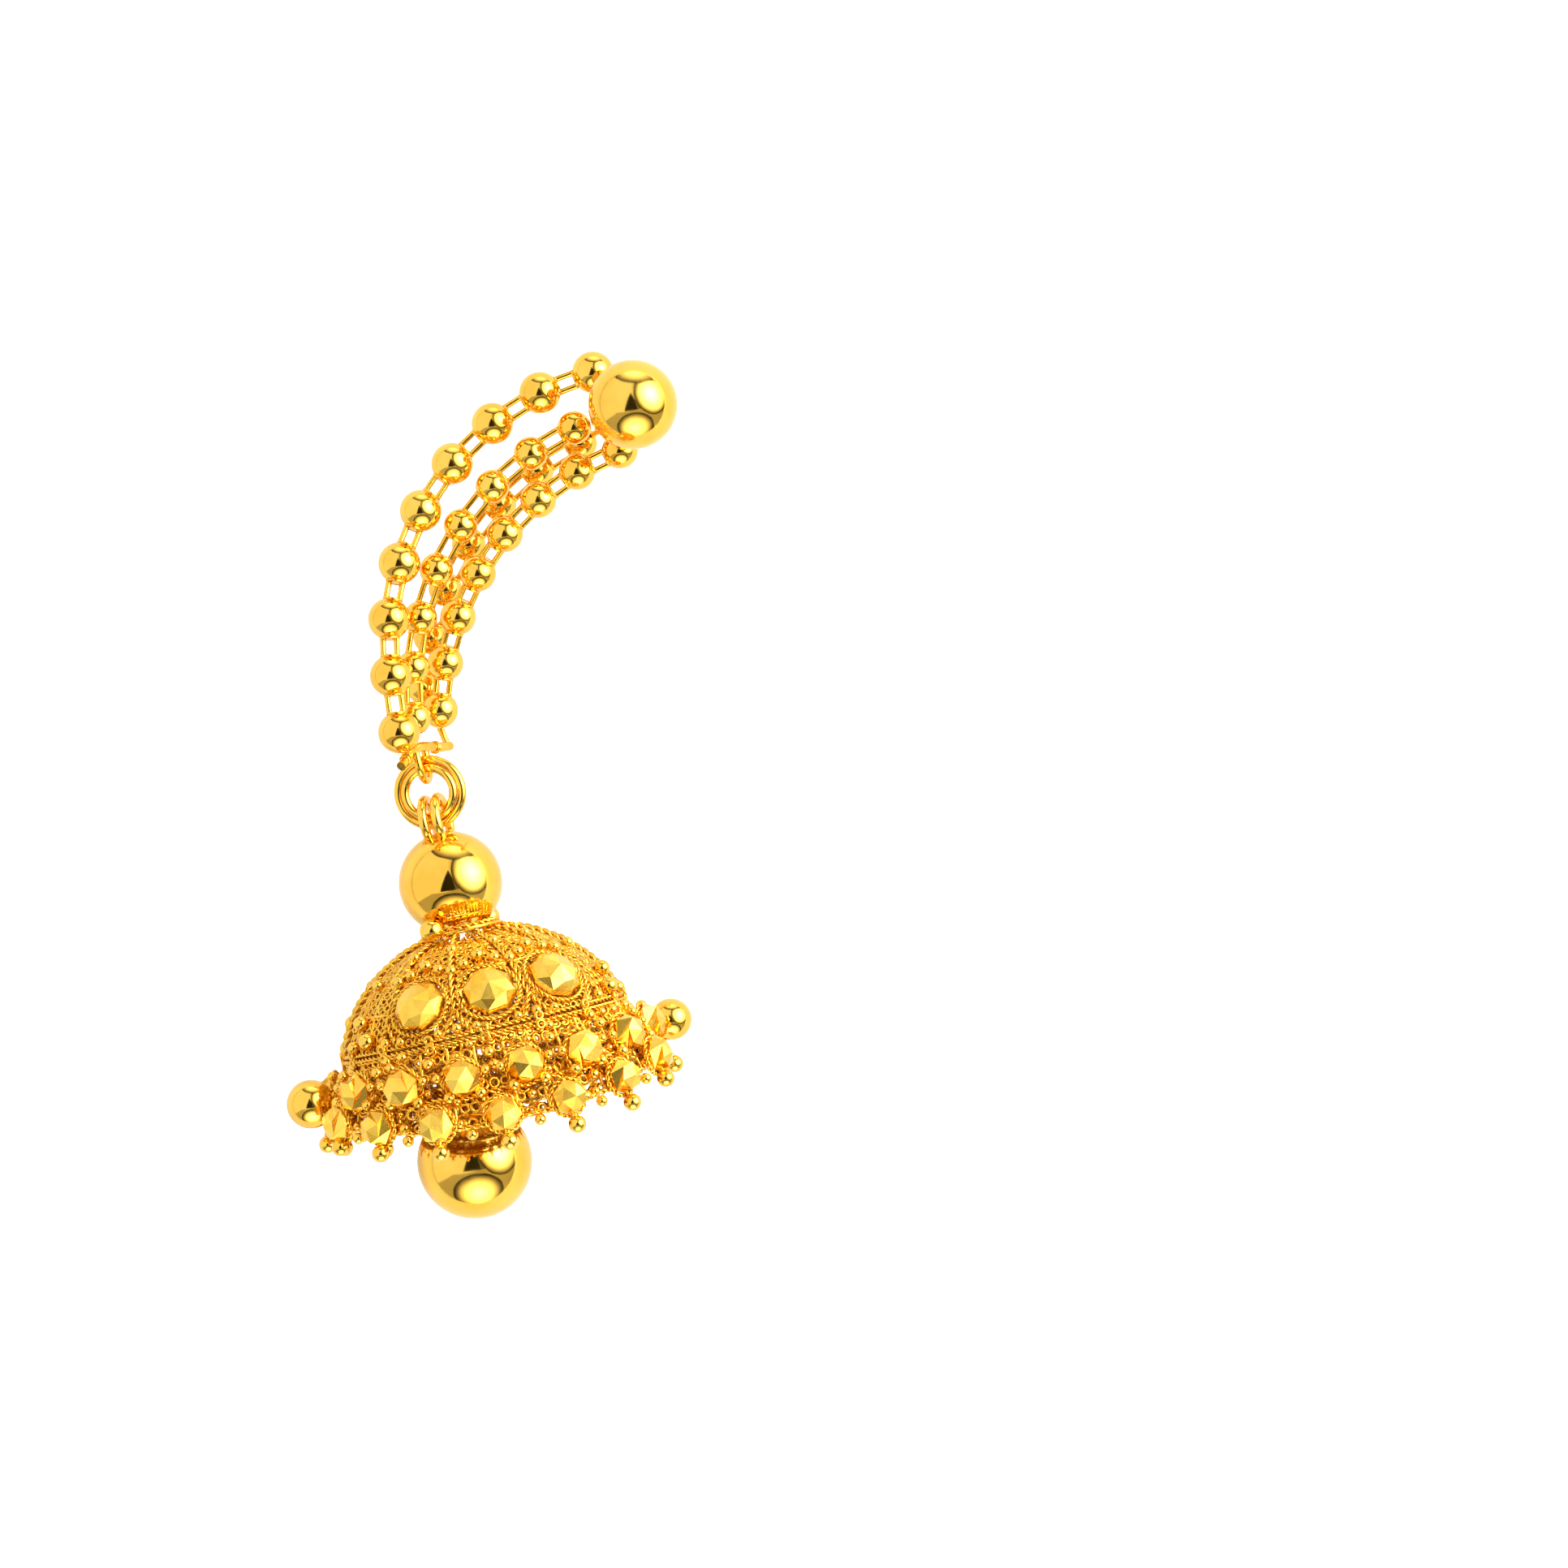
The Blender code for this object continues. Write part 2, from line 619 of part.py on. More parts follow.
def make_skirt(materials):
    """The flared border with its carriers, cut beads and fringe of granules."""
    columns = []
    for unit in range(UNITS):
        start = UPPER_BEAD_ANGLE + unit * UNIT_ANGLE
        columns += [start - UPPER_CARRIER_HALF, start + UPPER_CARRIER_HALF]

    def is_open(i, j):
        upper_cell = i % 2 == 0
        kept = SKIRT_KEPT[j]
        return (kept == UPPER_ONLY and not upper_cell) or (kept == LOWER_ONLY and upper_cell)

    shape = bmesh.new()
    add_lattice(
        shape, columns, SKIRT_ROWS, is_open,
        skirt_point, lambda angle, row: skirt_point(angle, row, -SKIRT_WALL),
    )
    skirt = mesh_object("skirt", shape, materials["filigree"])
    beads = bmesh.new()
    for unit in range(UNITS):
        upper = UPPER_BEAD_ANGLE + unit * UNIT_ANGLE
        lower = upper + UNIT_ANGLE / 2
        if not near_end(upper, UNIT_ANGLE / 2):
            add_skirt_bead(beads, UPPER_BEAD, upper, FACET_SIDES, FACET_RINGS)
        if not near_end(lower, UNIT_ANGLE / 3):
            add_skirt_bead(beads, LOWER_BEAD, lower, FACET_SIDES, FACET_RINGS)
        add_skirt_bead(beads, FRINGE_GRANULE, lower, FACET_SIDES, GRANULE_RINGS)
        hem = skirt_point(lower, len(SKIRT_ROWS) - 1, -SKIRT_WALL / 2)
        add_rod(beads, hem, bead_place(FRINGE_GRANULE, lower), FRINGE_STALK)
    return fuse(skirt, beads)


def add_skirt_bead(shape, spec, angle, sides, rings):
    """A cut bead or granule that faces outwards."""
    place = bead_place(spec, angle)
    outward = place - Vector((AXIS_X, AXIS_Y, place.z))
    add_ball(shape, place, spec["radius"], sides, rings, axis=outward)


def make_end_balls(materials):
    """The plain balls at the skirt's two ends, each on a short stub."""
    left, right = end_angles()
    balls = []
    for name, angle, radius in (("end_ball_left", left, END_BALL_LEFT_RADIUS),
                                ("end_ball_right", right, END_BALL_RIGHT_RADIUS)):
        shape = bmesh.new()
        centre = round_place(angle, END_BALL_REACH, END_BALL_Z)
        add_ball(shape, centre, radius)
        ball = mesh_object(name, shape, materials["polished"])
        extra = bmesh.new()
        wall = SKIRT_ROWS[STUB_ROW]["reach"]
        add_rod(extra, round_place(angle, wall + GAP, END_BALL_Z), centre, END_STUB_RADIUS, 6)
        balls.append(fuse(ball, extra))
    return balls


def make_cross_bar(materials):
    """The bar across the inside of the bell."""
    shape = bmesh.new()
    add_rod(shape, (AXIS_X - CROSS_BAR_HALF, AXIS_Y, CROSS_BAR_Z),
            (AXIS_X + CROSS_BAR_HALF, AXIS_Y, CROSS_BAR_Z), CROSS_BAR_RADIUS, 8)
    return mesh_object("cross_bar", shape, materials["wire"])


def make_bottom_ball(materials):
    """The large ball under the bell, with a stalk and a loop round the cross bar."""
    shape = bmesh.new()
    add_ball(shape, (BOTTOM_BALL_X, AXIS_Y, BOTTOM_BALL_Z), BOTTOM_BALL_RADIUS, 16, 8)
    ball = mesh_object("bottom_ball", shape, materials["polished"])
    extra = bmesh.new()
    path = circle_path((BOTTOM_BALL_X, AXIS_Y, CROSS_BAR_Z), LOOP_RADIUS, (0, 1, 0), (0, 0, 1), 12)
    add_sweep(extra, path, round_section(LOOP_WIRE), (1, 0, 0), closed=True)
    add_rod(extra, (BOTTOM_BALL_X, AXIS_Y, CROSS_BAR_Z - LOOP_RADIUS),
            (BOTTOM_BALL_X, AXIS_Y, BOTTOM_BALL_Z + STALK_FOOT), LOOP_WIRE, 6)
    return fuse(ball, extra)


def main():
    """Build the earring."""
    clear_scene()
    materials = {
        "polished": gold("polished_gold", (0.80, 0.50, 0.10), 0.10),
        "wire": gold("gold_wire", (0.76, 0.45, 0.08), 0.18),
        "filigree": gold("cut_gold_filigree", (0.78, 0.48, 0.10), 0.22),
    }
    stem = empty("stem", (0, STEM_DEPTH, 0), turn_y=STEM_TURN)
    make_stud(materials, stem)
    for name, strand in STRANDS.items():
        make_strand(name, strand, materials["polished"], stem)
    make_end_eye(materials)

    eye_z = RING_CENTRE_Z + RING_RADIUS - EYE_BELOW_RING
    ring_pivot = empty("ring_pivot", (AXIS_X, AXIS_Y, eye_z))
    make_jump_ring(materials, ring_pivot)
    drop_pivot = empty("drop_pivot", (0, 0, RING_CENTRE_Z - RING_RADIUS - eye_z), parent=ring_pivot)
    hang(make_top_ball(materials), drop_pivot)
    hang(make_neck_collar(materials), drop_pivot)
    hang(make_dome(materials), drop_pivot)
    hang(make_skirt(materials), drop_pivot)
    for ball in make_end_balls(materials):
        hang(ball, drop_pivot)
    hang(make_cross_bar(materials), drop_pivot)
    drop_place = world_place(drop_pivot) / MM
    ball_pivot = empty(
        "ball_pivot", Vector((BOTTOM_BALL_X, AXIS_Y, CROSS_BAR_Z)) - drop_place, parent=drop_pivot,
    )
    hang(make_bottom_ball(materials), ball_pivot)


main()
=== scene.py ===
"""Bell drop earring in high-carat gold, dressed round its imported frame.

The earring hangs from its ear post: a crescent of bead strands, a ring, and a lace bell with a
flared border of cut beads and a ball in its mouth. Lengths are in millimetres until a mesh is made,
and MM turns them into metres.
"""

import logging
import math
from dataclasses import dataclass
from enum import Enum
from typing import Iterable, Sequence

import bmesh
import bpy
import numpy as np
from mathutils import Matrix, Vector


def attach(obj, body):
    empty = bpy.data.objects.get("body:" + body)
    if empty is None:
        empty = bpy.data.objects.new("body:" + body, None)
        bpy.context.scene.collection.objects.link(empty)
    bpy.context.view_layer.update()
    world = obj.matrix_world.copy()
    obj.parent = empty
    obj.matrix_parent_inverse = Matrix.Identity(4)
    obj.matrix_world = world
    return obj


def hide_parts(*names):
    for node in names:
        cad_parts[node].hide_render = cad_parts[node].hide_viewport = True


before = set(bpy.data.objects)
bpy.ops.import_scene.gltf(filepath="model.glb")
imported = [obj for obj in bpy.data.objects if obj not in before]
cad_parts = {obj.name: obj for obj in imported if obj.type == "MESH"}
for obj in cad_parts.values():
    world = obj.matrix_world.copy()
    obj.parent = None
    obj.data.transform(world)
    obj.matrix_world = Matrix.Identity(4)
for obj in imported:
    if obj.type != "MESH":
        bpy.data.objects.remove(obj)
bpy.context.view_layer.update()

MM = 0.001
LOG = logging.getLogger("earring")


class Slot(Enum):
    """The record's material slots."""

    POLISHED = "polished_gold"
    WIRE = "gold_wire"
    LACE = "cut_gold_filigree"


class Body(Enum):
    """The bodies that move on their own."""

    STEM = "stem"
    RING = "ring"
    DROP = "drop"
    CLAPPER = "clapper"


# ---- Nodes ----


def add_node(tree: bpy.types.NodeTree, kind: str, inputs: dict | None = None, **settings) -> bpy.types.Node:
    """Add a node with its settings, and set or link its inputs.

    Args:
        tree: The tree that the node goes into.
        kind: Blender's name for the node.
        inputs: Values or output sockets by input name or number.
        settings: Properties of the node itself.

    Returns:
        The new node.
    """
    node = tree.nodes.new(kind)
    for key, value in settings.items():
        setattr(node, key, value)
    for key, value in (inputs or {}).items():
        if isinstance(value, bpy.types.NodeSocket):
            tree.links.new(value, node.inputs[key])
        else:
            node.inputs[key].default_value = value
    return node


def linear(code: str) -> tuple[float, float, float, float]:
    """Turn an sRGB hex colour into linear values.

    Args:
        code: Six hex digits, with or without a leading hash.

    Returns:
        Red, green, blue and an alpha of one.
    """
    parts = [int(code.lstrip("#")[k:k + 2], 16) / 255 for k in (0, 2, 4)]
    return (*[c / 12.92 if c <= 0.04045 else ((c + 0.055) / 1.055) ** 2.4 for c in parts], 1.0)


# ---- Finishes ----


@dataclass(frozen=True)
class GoldFinish:
    """One way of finishing 22 carat yellow gold.

    Fields give the metal's colour in the open and where the alloy shows redder, its roughness from
    and to, and the size and height of its surface marks in millimetres.
    """

    name: str
    colour: str
    deep_colour: str
    roughness: tuple[float, float]
    patch: float
    mark: float
    mark_height: float
    cut_lines: float = 0.0

    def material(self) -> bpy.types.Material:
        """Build the finish's material, once.

        Returns:
            The material with its nodes.
        """
        known = bpy.data.materials.get(self.name)
        if known:
            return known
        made = bpy.data.materials.new(self.name)
        made.use_nodes = True
        tree = made.node_tree
        shader = tree.nodes["Principled BSDF"]
        place = add_node(tree, "ShaderNodeTexCoord").outputs["Object"]
        # Alloy and handling: soft patches, worked out from their size in millimetres
        patches = add_node(
            tree, "ShaderNodeTexNoise",
            {"Vector": place, "Scale": 1.0 / (self.patch * MM), "Detail": 3.0, "Roughness": 0.55},
        ).outputs["Fac"]
        blend = add_node(
            tree, "ShaderNodeMapRange",
            {"Value": patches, "From Min": 0.35, "From Max": 0.65, "To Min": 0.0, "To Max": 1.0},
        ).outputs["Result"]
        colour = add_node(
            tree, "ShaderNodeMix", {0: blend, 6: linear(self.deep_colour), 7: linear(self.colour)},
            data_type="RGBA",
        ).outputs[2]
        tree.links.new(colour, shader.inputs["Base Color"])
        rough = add_node(
            tree, "ShaderNodeMapRange",
            {"Value": patches, "From Min": 0.3, "From Max": 0.7,
             "To Min": self.roughness[0], "To Max": self.roughness[1]},
        ).outputs["Result"]
        tree.links.new(rough, shader.inputs["Roughness"])
        marks = add_node(
            tree, "ShaderNodeTexNoise",
            {"Vector": place, "Scale": 1.0 / (self.mark * MM), "Detail": 2.0, "Roughness": 0.5},
        ).outputs["Fac"]
        height = add_node(
            tree, "ShaderNodeBump",
            {"Height": marks, "Strength": 1.0, "Distance": self.mark_height * MM},
        )
        if self.cut_lines:
            # The bright-cutting tool leaves fine straight lines across each facet
            lines = add_node(
                tree, "ShaderNodeTexWave",
                {"Vector": place, "Scale": 1.0 / (self.cut_lines * MM), "Distortion": 0.6},
                bands_direction="DIAGONAL",
            ).outputs["Fac"]
            height = add_node(
                tree, "ShaderNodeBump",
                {"Height": lines, "Strength": 1.0, "Distance": self.mark_height * MM,
                 "Normal": height.outputs["Normal"]},
            )
        tree.links.new(height.outputs["Normal"], shader.inputs["Normal"])
        shader.inputs["Metallic"].default_value = 1.0
        return made


# Hollow balls pressed in halves and buffed: a deep mirror with a faint hand-worked waviness
BUFFED = GoldFinish("buffed_ball_gold", "FACB58", "F5BD48", (0.07, 0.13), 2.5, 1.4, 0.012)
# Drawn wire, pickled and brushed bright: a softer gleam with the drawplate's fine grain
DRAWN = GoldFinish("drawn_wire_gold", "F8C74C", "F0B439", (0.10, 0.20), 0.9, 0.12, 0.006)
# Lace of the finest wire, where polish never reaches the hollows: warmer and duller
LACE = GoldFinish("lace_wire_gold", "F6C247", "EBAA30", (0.14, 0.26), 0.7, 0.08, 0.006)
# The inside of the lace, matt as it came from the pickle; its darker, reddish colour is painted shade for the lace's
# hollows
PICKLED = GoldFinish("pickled_inner_gold", "C58A26", "A26412", (0.34, 0.48), 0.7, 0.08, 0.01)
# Facets cut with a polished diamond: flat mirrors with the tool's fine lines
CUT = GoldFinish("bright_cut_gold", "FCD25C", "F7C348", (0.02, 0.06), 1.5, 0.5, 0.004, 0.09)


# ---- Geometry trees ----


def start_tree(name: str, inputs: Sequence[tuple[str, str, object]]) -> tuple[bpy.types.NodeTree, bpy.types.Node]:
    """Start a geometry tree with its named inputs.

    Args:
        name: The tree's name.
        inputs: Name, socket kind and starting value of each input after the geometry.

    Returns:
        The tree and its input node.
    """
    tree = bpy.data.node_groups.new(name, "GeometryNodeTree")
    tree.interface.new_socket("Geometry", in_out="INPUT", socket_type="NodeSocketGeometry")
    tree.interface.new_socket("Geometry", in_out="OUTPUT", socket_type="NodeSocketGeometry")
    for label, kind, value in inputs:
        socket = tree.interface.new_socket(label, in_out="INPUT", socket_type=f"NodeSocket{kind}")
        if value is not None:
            socket.default_value = value
    return tree, add_node(tree, "NodeGroupInput")


def end_tree(tree: bpy.types.NodeTree, shape: bpy.types.NodeSocket, given: bpy.types.Node, smooth: bool) -> None:
    """Realize the instances, shade and dress the shape, and close the tree.

    Args:
        tree: The tree.
        shape: The finished geometry.
        given: The tree's input node, with a Finish socket.
        smooth: Whether the faces are shaded smooth.
    """
    real = add_node(tree, "GeometryNodeRealizeInstances", {"Geometry": shape}).outputs["Geometry"]
    shaded = add_node(
        tree, "GeometryNodeSetShadeSmooth", {"Geometry": real, "Shade Smooth": smooth},
    ).outputs["Geometry"]
    dressed = add_node(
        tree, "GeometryNodeSetMaterial", {"Geometry": shaded, "Material": given.outputs["Finish"]},
    ).outputs["Geometry"]
    add_node(tree, "NodeGroupOutput", {"Geometry": dressed})


def wire_tree() -> bpy.types.NodeTree:
    """A plain round wire along each line of the guide.

    Returns:
        The tree, with inputs for the wire's radius, its sides and its finish.
    """
    tree, given = start_tree("plain_wire", (
        ("Wire Radius", "Float", 0.0002), ("Sides", "Int", 8), ("Finish", "Material", None),
    ))
    line = add_node(tree, "GeometryNodeMeshToCurve", {"Mesh": given.outputs["Geometry"]}).outputs["Curve"]
    section = add_node(
        tree, "GeometryNodeCurvePrimitiveCircle",
        {"Resolution": given.outputs["Sides"], "Radius": given.outputs["Wire Radius"]},
    ).outputs["Curve"]
    wire = add_node(
        tree, "GeometryNodeCurveToMesh", {"Curve": line, "Profile Curve": section, "Fill Caps": True},
    ).outputs["Mesh"]
    end_tree(tree, wire, given, True)
    return tree


def rope_tree() -> bpy.types.NodeTree:
    """Wires twisted round each other along each line of the guide.

    Returns:
        The tree, with inputs for the wires' radius and number, the twist's pitch, the step along
        the line, the sides and the finish.
    """
    tree, given = start_tree("twisted_rope", (
        ("Wire Radius", "Float", 0.0001), ("Wires", "Int", 2), ("Pitch", "Float", 0.0009),
        ("Step", "Float", 0.00012), ("Sides", "Int", 4), ("Finish", "Material", None),
    ))
    line = add_node(tree, "GeometryNodeMeshToCurve", {"Mesh": given.outputs["Geometry"]}).outputs["Curve"]
    even = add_node(
        tree, "GeometryNodeResampleCurve", {"Curve": line, "Length": given.outputs["Step"]}, mode="LENGTH",
    ).outputs["Curve"]
    copies = add_node(
        tree, "GeometryNodeDuplicateElements", {"Geometry": even, "Amount": given.outputs["Wires"]},
        domain="SPLINE",
    )
    # Whole turns on every line, so that the twist closes on a ring
    length = add_node(tree, "GeometryNodeSplineLength").outputs["Length"]
    raw = add_node(tree, "ShaderNodeMath", {0: length, 1: given.outputs["Pitch"]}, operation="DIVIDE").outputs[0]
    whole = add_node(tree, "ShaderNodeMath", {0: raw}, operation="ROUND").outputs[0]
    factor = add_node(tree, "GeometryNodeSplineParameter").outputs["Factor"]
    along = add_node(tree, "ShaderNodeMath", {0: factor, 1: whole}, operation="MULTIPLY").outputs[0]
    share = add_node(
        tree, "ShaderNodeMath", {0: copies.outputs["Duplicate Index"], 1: given.outputs["Wires"]},
        operation="DIVIDE",
    ).outputs[0]
    turn = add_node(tree, "ShaderNodeMath", {0: along, 1: share}, operation="ADD").outputs[0]
    angle = add_node(tree, "ShaderNodeMath", {0: turn, 1: math.tau}, operation="MULTIPLY").outputs[0]
    tangent = add_node(tree, "GeometryNodeInputTangent").outputs["Tangent"]
    normal = add_node(tree, "GeometryNodeInputNormal").outputs["Normal"]
    swung = add_node(
        tree, "ShaderNodeVectorRotate", {"Vector": normal, "Axis": tangent, "Angle": angle},
        rotation_type="AXIS_ANGLE",
    ).outputs["Vector"]
    offset = add_node(
        tree, "ShaderNodeVectorMath", {0: swung, "Scale": given.outputs["Wire Radius"]}, operation="SCALE",
    ).outputs["Vector"]
    wound = add_node(
        tree, "GeometryNodeSetPosition", {"Geometry": copies.outputs["Geometry"], "Offset": offset},
    ).outputs["Geometry"]
    section = add_node(
        tree, "GeometryNodeCurvePrimitiveCircle",
        {"Resolution": given.outputs["Sides"], "Radius": given.outputs["Wire Radius"]},
    ).outputs["Curve"]
    rope = add_node(
        tree, "GeometryNodeCurveToMesh", {"Curve": wound, "Profile Curve": section, "Fill Caps": True},
    ).outputs["Mesh"]
    end_tree(tree, rope, given, True)
    return tree


def set_on_points(tree: bpy.types.NodeTree, given: bpy.types.Node, form: bpy.types.NodeSocket) -> bpy.types.NodeSocket:
    """Set a form on each point of the guide, with its axis and size from the guide's attributes.

    Args:
        tree: The tree.
        given: The tree's input node.
        form: The geometry that is set on the points.

    Returns:
        The instances.
    """
    axis = add_node(
        tree, "GeometryNodeInputNamedAttribute", {"Name": "axis"}, data_type="FLOAT_VECTOR",
    ).outputs["Attribute"]
    size = add_node(
        tree, "GeometryNodeInputNamedAttribute", {"Name": "size"}, data_type="FLOAT",
    ).outputs["Attribute"]
    spin = add_node(
        tree, "GeometryNodeInputNamedAttribute", {"Name": "spin"}, data_type="FLOAT",
    ).outputs["Attribute"]
    aligned = add_node(
        tree, "FunctionNodeAlignRotationToVector", {"Vector": axis}, axis="Z",
    ).outputs["Rotation"]
    own = add_node(tree, "ShaderNodeCombineXYZ", {"Z": spin}).outputs["Vector"]
    turned = add_node(
        tree, "FunctionNodeRotateRotation", {"Rotation": aligned, "Rotate By": own}, rotation_space="LOCAL",
    ).outputs["Rotation"]
    return add_node(
        tree, "GeometryNodeInstanceOnPoints",
        {"Points": given.outputs["Geometry"], "Instance": form, "Rotation": turned, "Scale": size},
    ).outputs["Instances"]


def ball_tree() -> bpy.types.NodeTree:
    """Round beads or granules on the guide's points.

    Returns:
        The tree, with inputs for the sphere's sides and rings and its finish.
    """
    tree, given = start_tree("round_beads", (
        ("Sides", "Int", 24), ("Rings", "Int", 12), ("Finish", "Material", None),
    ))
    ball = add_node(
        tree, "GeometryNodeMeshUVSphere",
        {"Segments": given.outputs["Sides"], "Rings": given.outputs["Rings"], "Radius": 1.0},
    ).outputs["Mesh"]
    end_tree(tree, set_on_points(tree, given, ball), given, True)
    return tree


def loop_tree() -> bpy.types.NodeTree:
    """Rings of fine wire lying on the guide's points.

    Returns:
        The tree, with inputs for the wire's share of the ring, the segments, sides and finish.
    """
    tree, given = start_tree("wire_loops", (
        ("Wire Share", "Float", 0.3), ("Segments", "Int", 9), ("Sides", "Int", 4),
        ("Finish", "Material", None),
    ))
    line = add_node(
        tree, "GeometryNodeCurvePrimitiveCircle", {"Resolution": given.outputs["Segments"], "Radius": 1.0},
    ).outputs["Curve"]
    section = add_node(
        tree, "GeometryNodeCurvePrimitiveCircle",
        {"Resolution": given.outputs["Sides"], "Radius": given.outputs["Wire Share"]},
    ).outputs["Curve"]
    ring = add_node(
        tree, "GeometryNodeCurveToMesh", {"Curve": line, "Profile Curve": section},
    ).outputs["Mesh"]
    end_tree(tree, set_on_points(tree, given, ring), given, True)
    return tree


def cut_tree() -> bpy.types.NodeTree:
    """Cut forms on the guide's points, with flat facets.

    Returns:
        The tree, with inputs for the form and its finish.
    """
    tree, given = start_tree("cut_forms", (("Form", "Object", None), ("Finish", "Material", None)))
    form = add_node(
        tree, "GeometryNodeObjectInfo", {"Object": given.outputs["Form"]}, transform_space="ORIGINAL",
    ).outputs["Geometry"]
    end_tree(tree, set_on_points(tree, given, form), given, False)
    return tree


# ---- Guides and pieces ----


@dataclass
class Setting:
    """A place where a bead, loop or cut form is set: centre, axis, size and turn about the axis."""

    place: Vector
    axis: Vector
    size: float
    spin: float = 0.0


def line_guide(lines: Iterable[Sequence[Vector]], closed: bool) -> bpy.types.Mesh:
    """Make a guide mesh of lines.

    Args:
        lines: The points of each line, in millimetres.
        closed: Whether each line runs back to its start.

    Returns:
        A mesh of vertices and edges, in metres.
    """
    points: list[Vector] = []
    edges: list[tuple[int, int]] = []
    for line in lines:
        first = len(points)
        points += [Vector(p) * MM for p in line]
        edges += [(first + k, first + k + 1) for k in range(len(line) - 1)]
        if closed:
            edges.append((len(points) - 1, first))
    guide = bpy.data.meshes.new("guide")
    guide.from_pydata(points, edges, [])
    return guide


def point_guide(settings: Sequence[Setting]) -> bpy.types.Mesh:
    """Make a guide mesh of points with an axis, a size and a spin each.

    Args:
        settings: The places, in millimetres.

    Returns:
        A mesh of loose vertices, in metres.
    """
    guide = bpy.data.meshes.new("guide")
    guide.from_pydata([s.place * MM for s in settings], [], [])
    axis = guide.attributes.new("axis", "FLOAT_VECTOR", "POINT")
    axis.data.foreach_set("vector", np.array([s.axis.normalized() for s in settings], float).ravel())
    size = guide.attributes.new("size", "FLOAT", "POINT")
    size.data.foreach_set("value", np.array([s.size * MM for s in settings], float))
    spin = guide.attributes.new("spin", "FLOAT", "POINT")
    spin.data.foreach_set("value", np.array([s.spin for s in settings], float))
    return guide


class Workshop:
    """Holds the geometry trees and turns guides into plain meshes."""

    def __init__(self) -> None:
        """Build each tree once."""
        self.wire = wire_tree()
        self.rope = rope_tree()
        self.ball = ball_tree()
        self.loop = loop_tree()
        self.cut = cut_tree()

    def form(self, tree: bpy.types.NodeTree, guide: bpy.types.Mesh, values: dict[str, object]) -> bpy.types.Mesh:
        """Run a tree on a guide.

        Args:
            tree: The geometry tree.
            guide: The mesh that it starts from.
            values: The tree's inputs by name.

        Returns:
            The result as a plain mesh.
        """
        item = bpy.data.objects.new("guide", guide)
        bpy.context.scene.collection.objects.link(item)
        modifier = item.modifiers.new("form", "NODES")
        modifier.node_group = tree
        for socket in tree.interface.items_tree:
            if socket.item_type == "SOCKET" and socket.in_out == "INPUT" and socket.name in values:
                modifier[socket.identifier] = values[socket.name]
        graph = bpy.context.evaluated_depsgraph_get()
        made = bpy.data.meshes.new_from_object(item.evaluated_get(graph))
        bpy.data.objects.remove(item)
        bpy.data.meshes.remove(guide)
        return made

    def wires(self, lines: Iterable[Sequence[Vector]], radius: float, finish: GoldFinish,
              closed: bool = False, sides: int = 8) -> bpy.types.Mesh:
        """Make plain wires along lines.

        Args:
            lines: The points of each wire.
            radius: The wire's radius.
            finish: Its finish.
            closed: Whether each wire is a ring.
            sides: Sides of its section.

        Returns:
            The wires' mesh.
        """
        values = {"Wire Radius": radius * MM, "Sides": sides, "Finish": finish.material()}
        return self.form(self.wire, line_guide(lines, closed), values)

    def ropes(self, lines: Iterable[Sequence[Vector]], radius: float, finish: GoldFinish,
              closed: bool = False, pitch: float = 0.0, wires: int = 2) -> bpy.types.Mesh:
        """Make twisted ropes along lines.

        Args:
            lines: The points of each rope.
            radius: The radius of one wire, half that of a rope of two.
            finish: The wires' finish.
            closed: Whether each rope is a ring.
            pitch: Length of one twist, or zero for one that follows from the radius.
            wires: Number of wires.

        Returns:
            The ropes' mesh.
        """
        pitch = pitch or radius * 9.0
        values = {"Wire Radius": radius * MM, "Wires": wires, "Pitch": pitch * MM,
                  "Step": pitch * MM / 7, "Sides": 4, "Finish": finish.material()}
        return self.form(self.rope, line_guide(lines, closed), values)

    def balls(self, settings: Sequence[Setting], finish: GoldFinish, sides: int = 24) -> bpy.types.Mesh:
        """Make round balls on points.

        Args:
            settings: The balls' places, with their radius as the size.
            finish: Their finish.
            sides: Sides round the axis; there are half as many rings.

        Returns:
            The balls' mesh.
        """
        values = {"Sides": sides, "Rings": sides // 2, "Finish": finish.material()}
        return self.form(self.ball, point_guide(settings), values)

    def loops(self, settings: Sequence[Setting], finish: GoldFinish, share: float = 0.3,
              segments: int = 9, sides: int = 4) -> bpy.types.Mesh:
        """Make wire rings on points.

        Args:
            settings: The rings' places, with their radius as the size.
            finish: Their finish.
            share: The wire's radius as a share of the ring's.
            segments: Segments round the ring.
            sides: Sides of the wire.

        Returns:
            The rings' mesh.
        """
        values = {"Wire Share": share, "Segments": segments, "Sides": sides, "Finish": finish.material()}
        return self.form(self.loop, point_guide(settings), values)

    def cuts(self, settings: Sequence[Setting], form: bpy.types.Object, finish: GoldFinish) -> bpy.types.Mesh:
        """Set a cut form on points.

        Args:
            settings: The forms' places, with their radius as the size.
            form: An object of unit radius that faces +Z.
            finish: The facets' finish.

        Returns:
            The cut forms' mesh.
        """
        values = {"Form": form, "Finish": finish.material()}
        return self.form(self.cut, point_guide(settings), values)


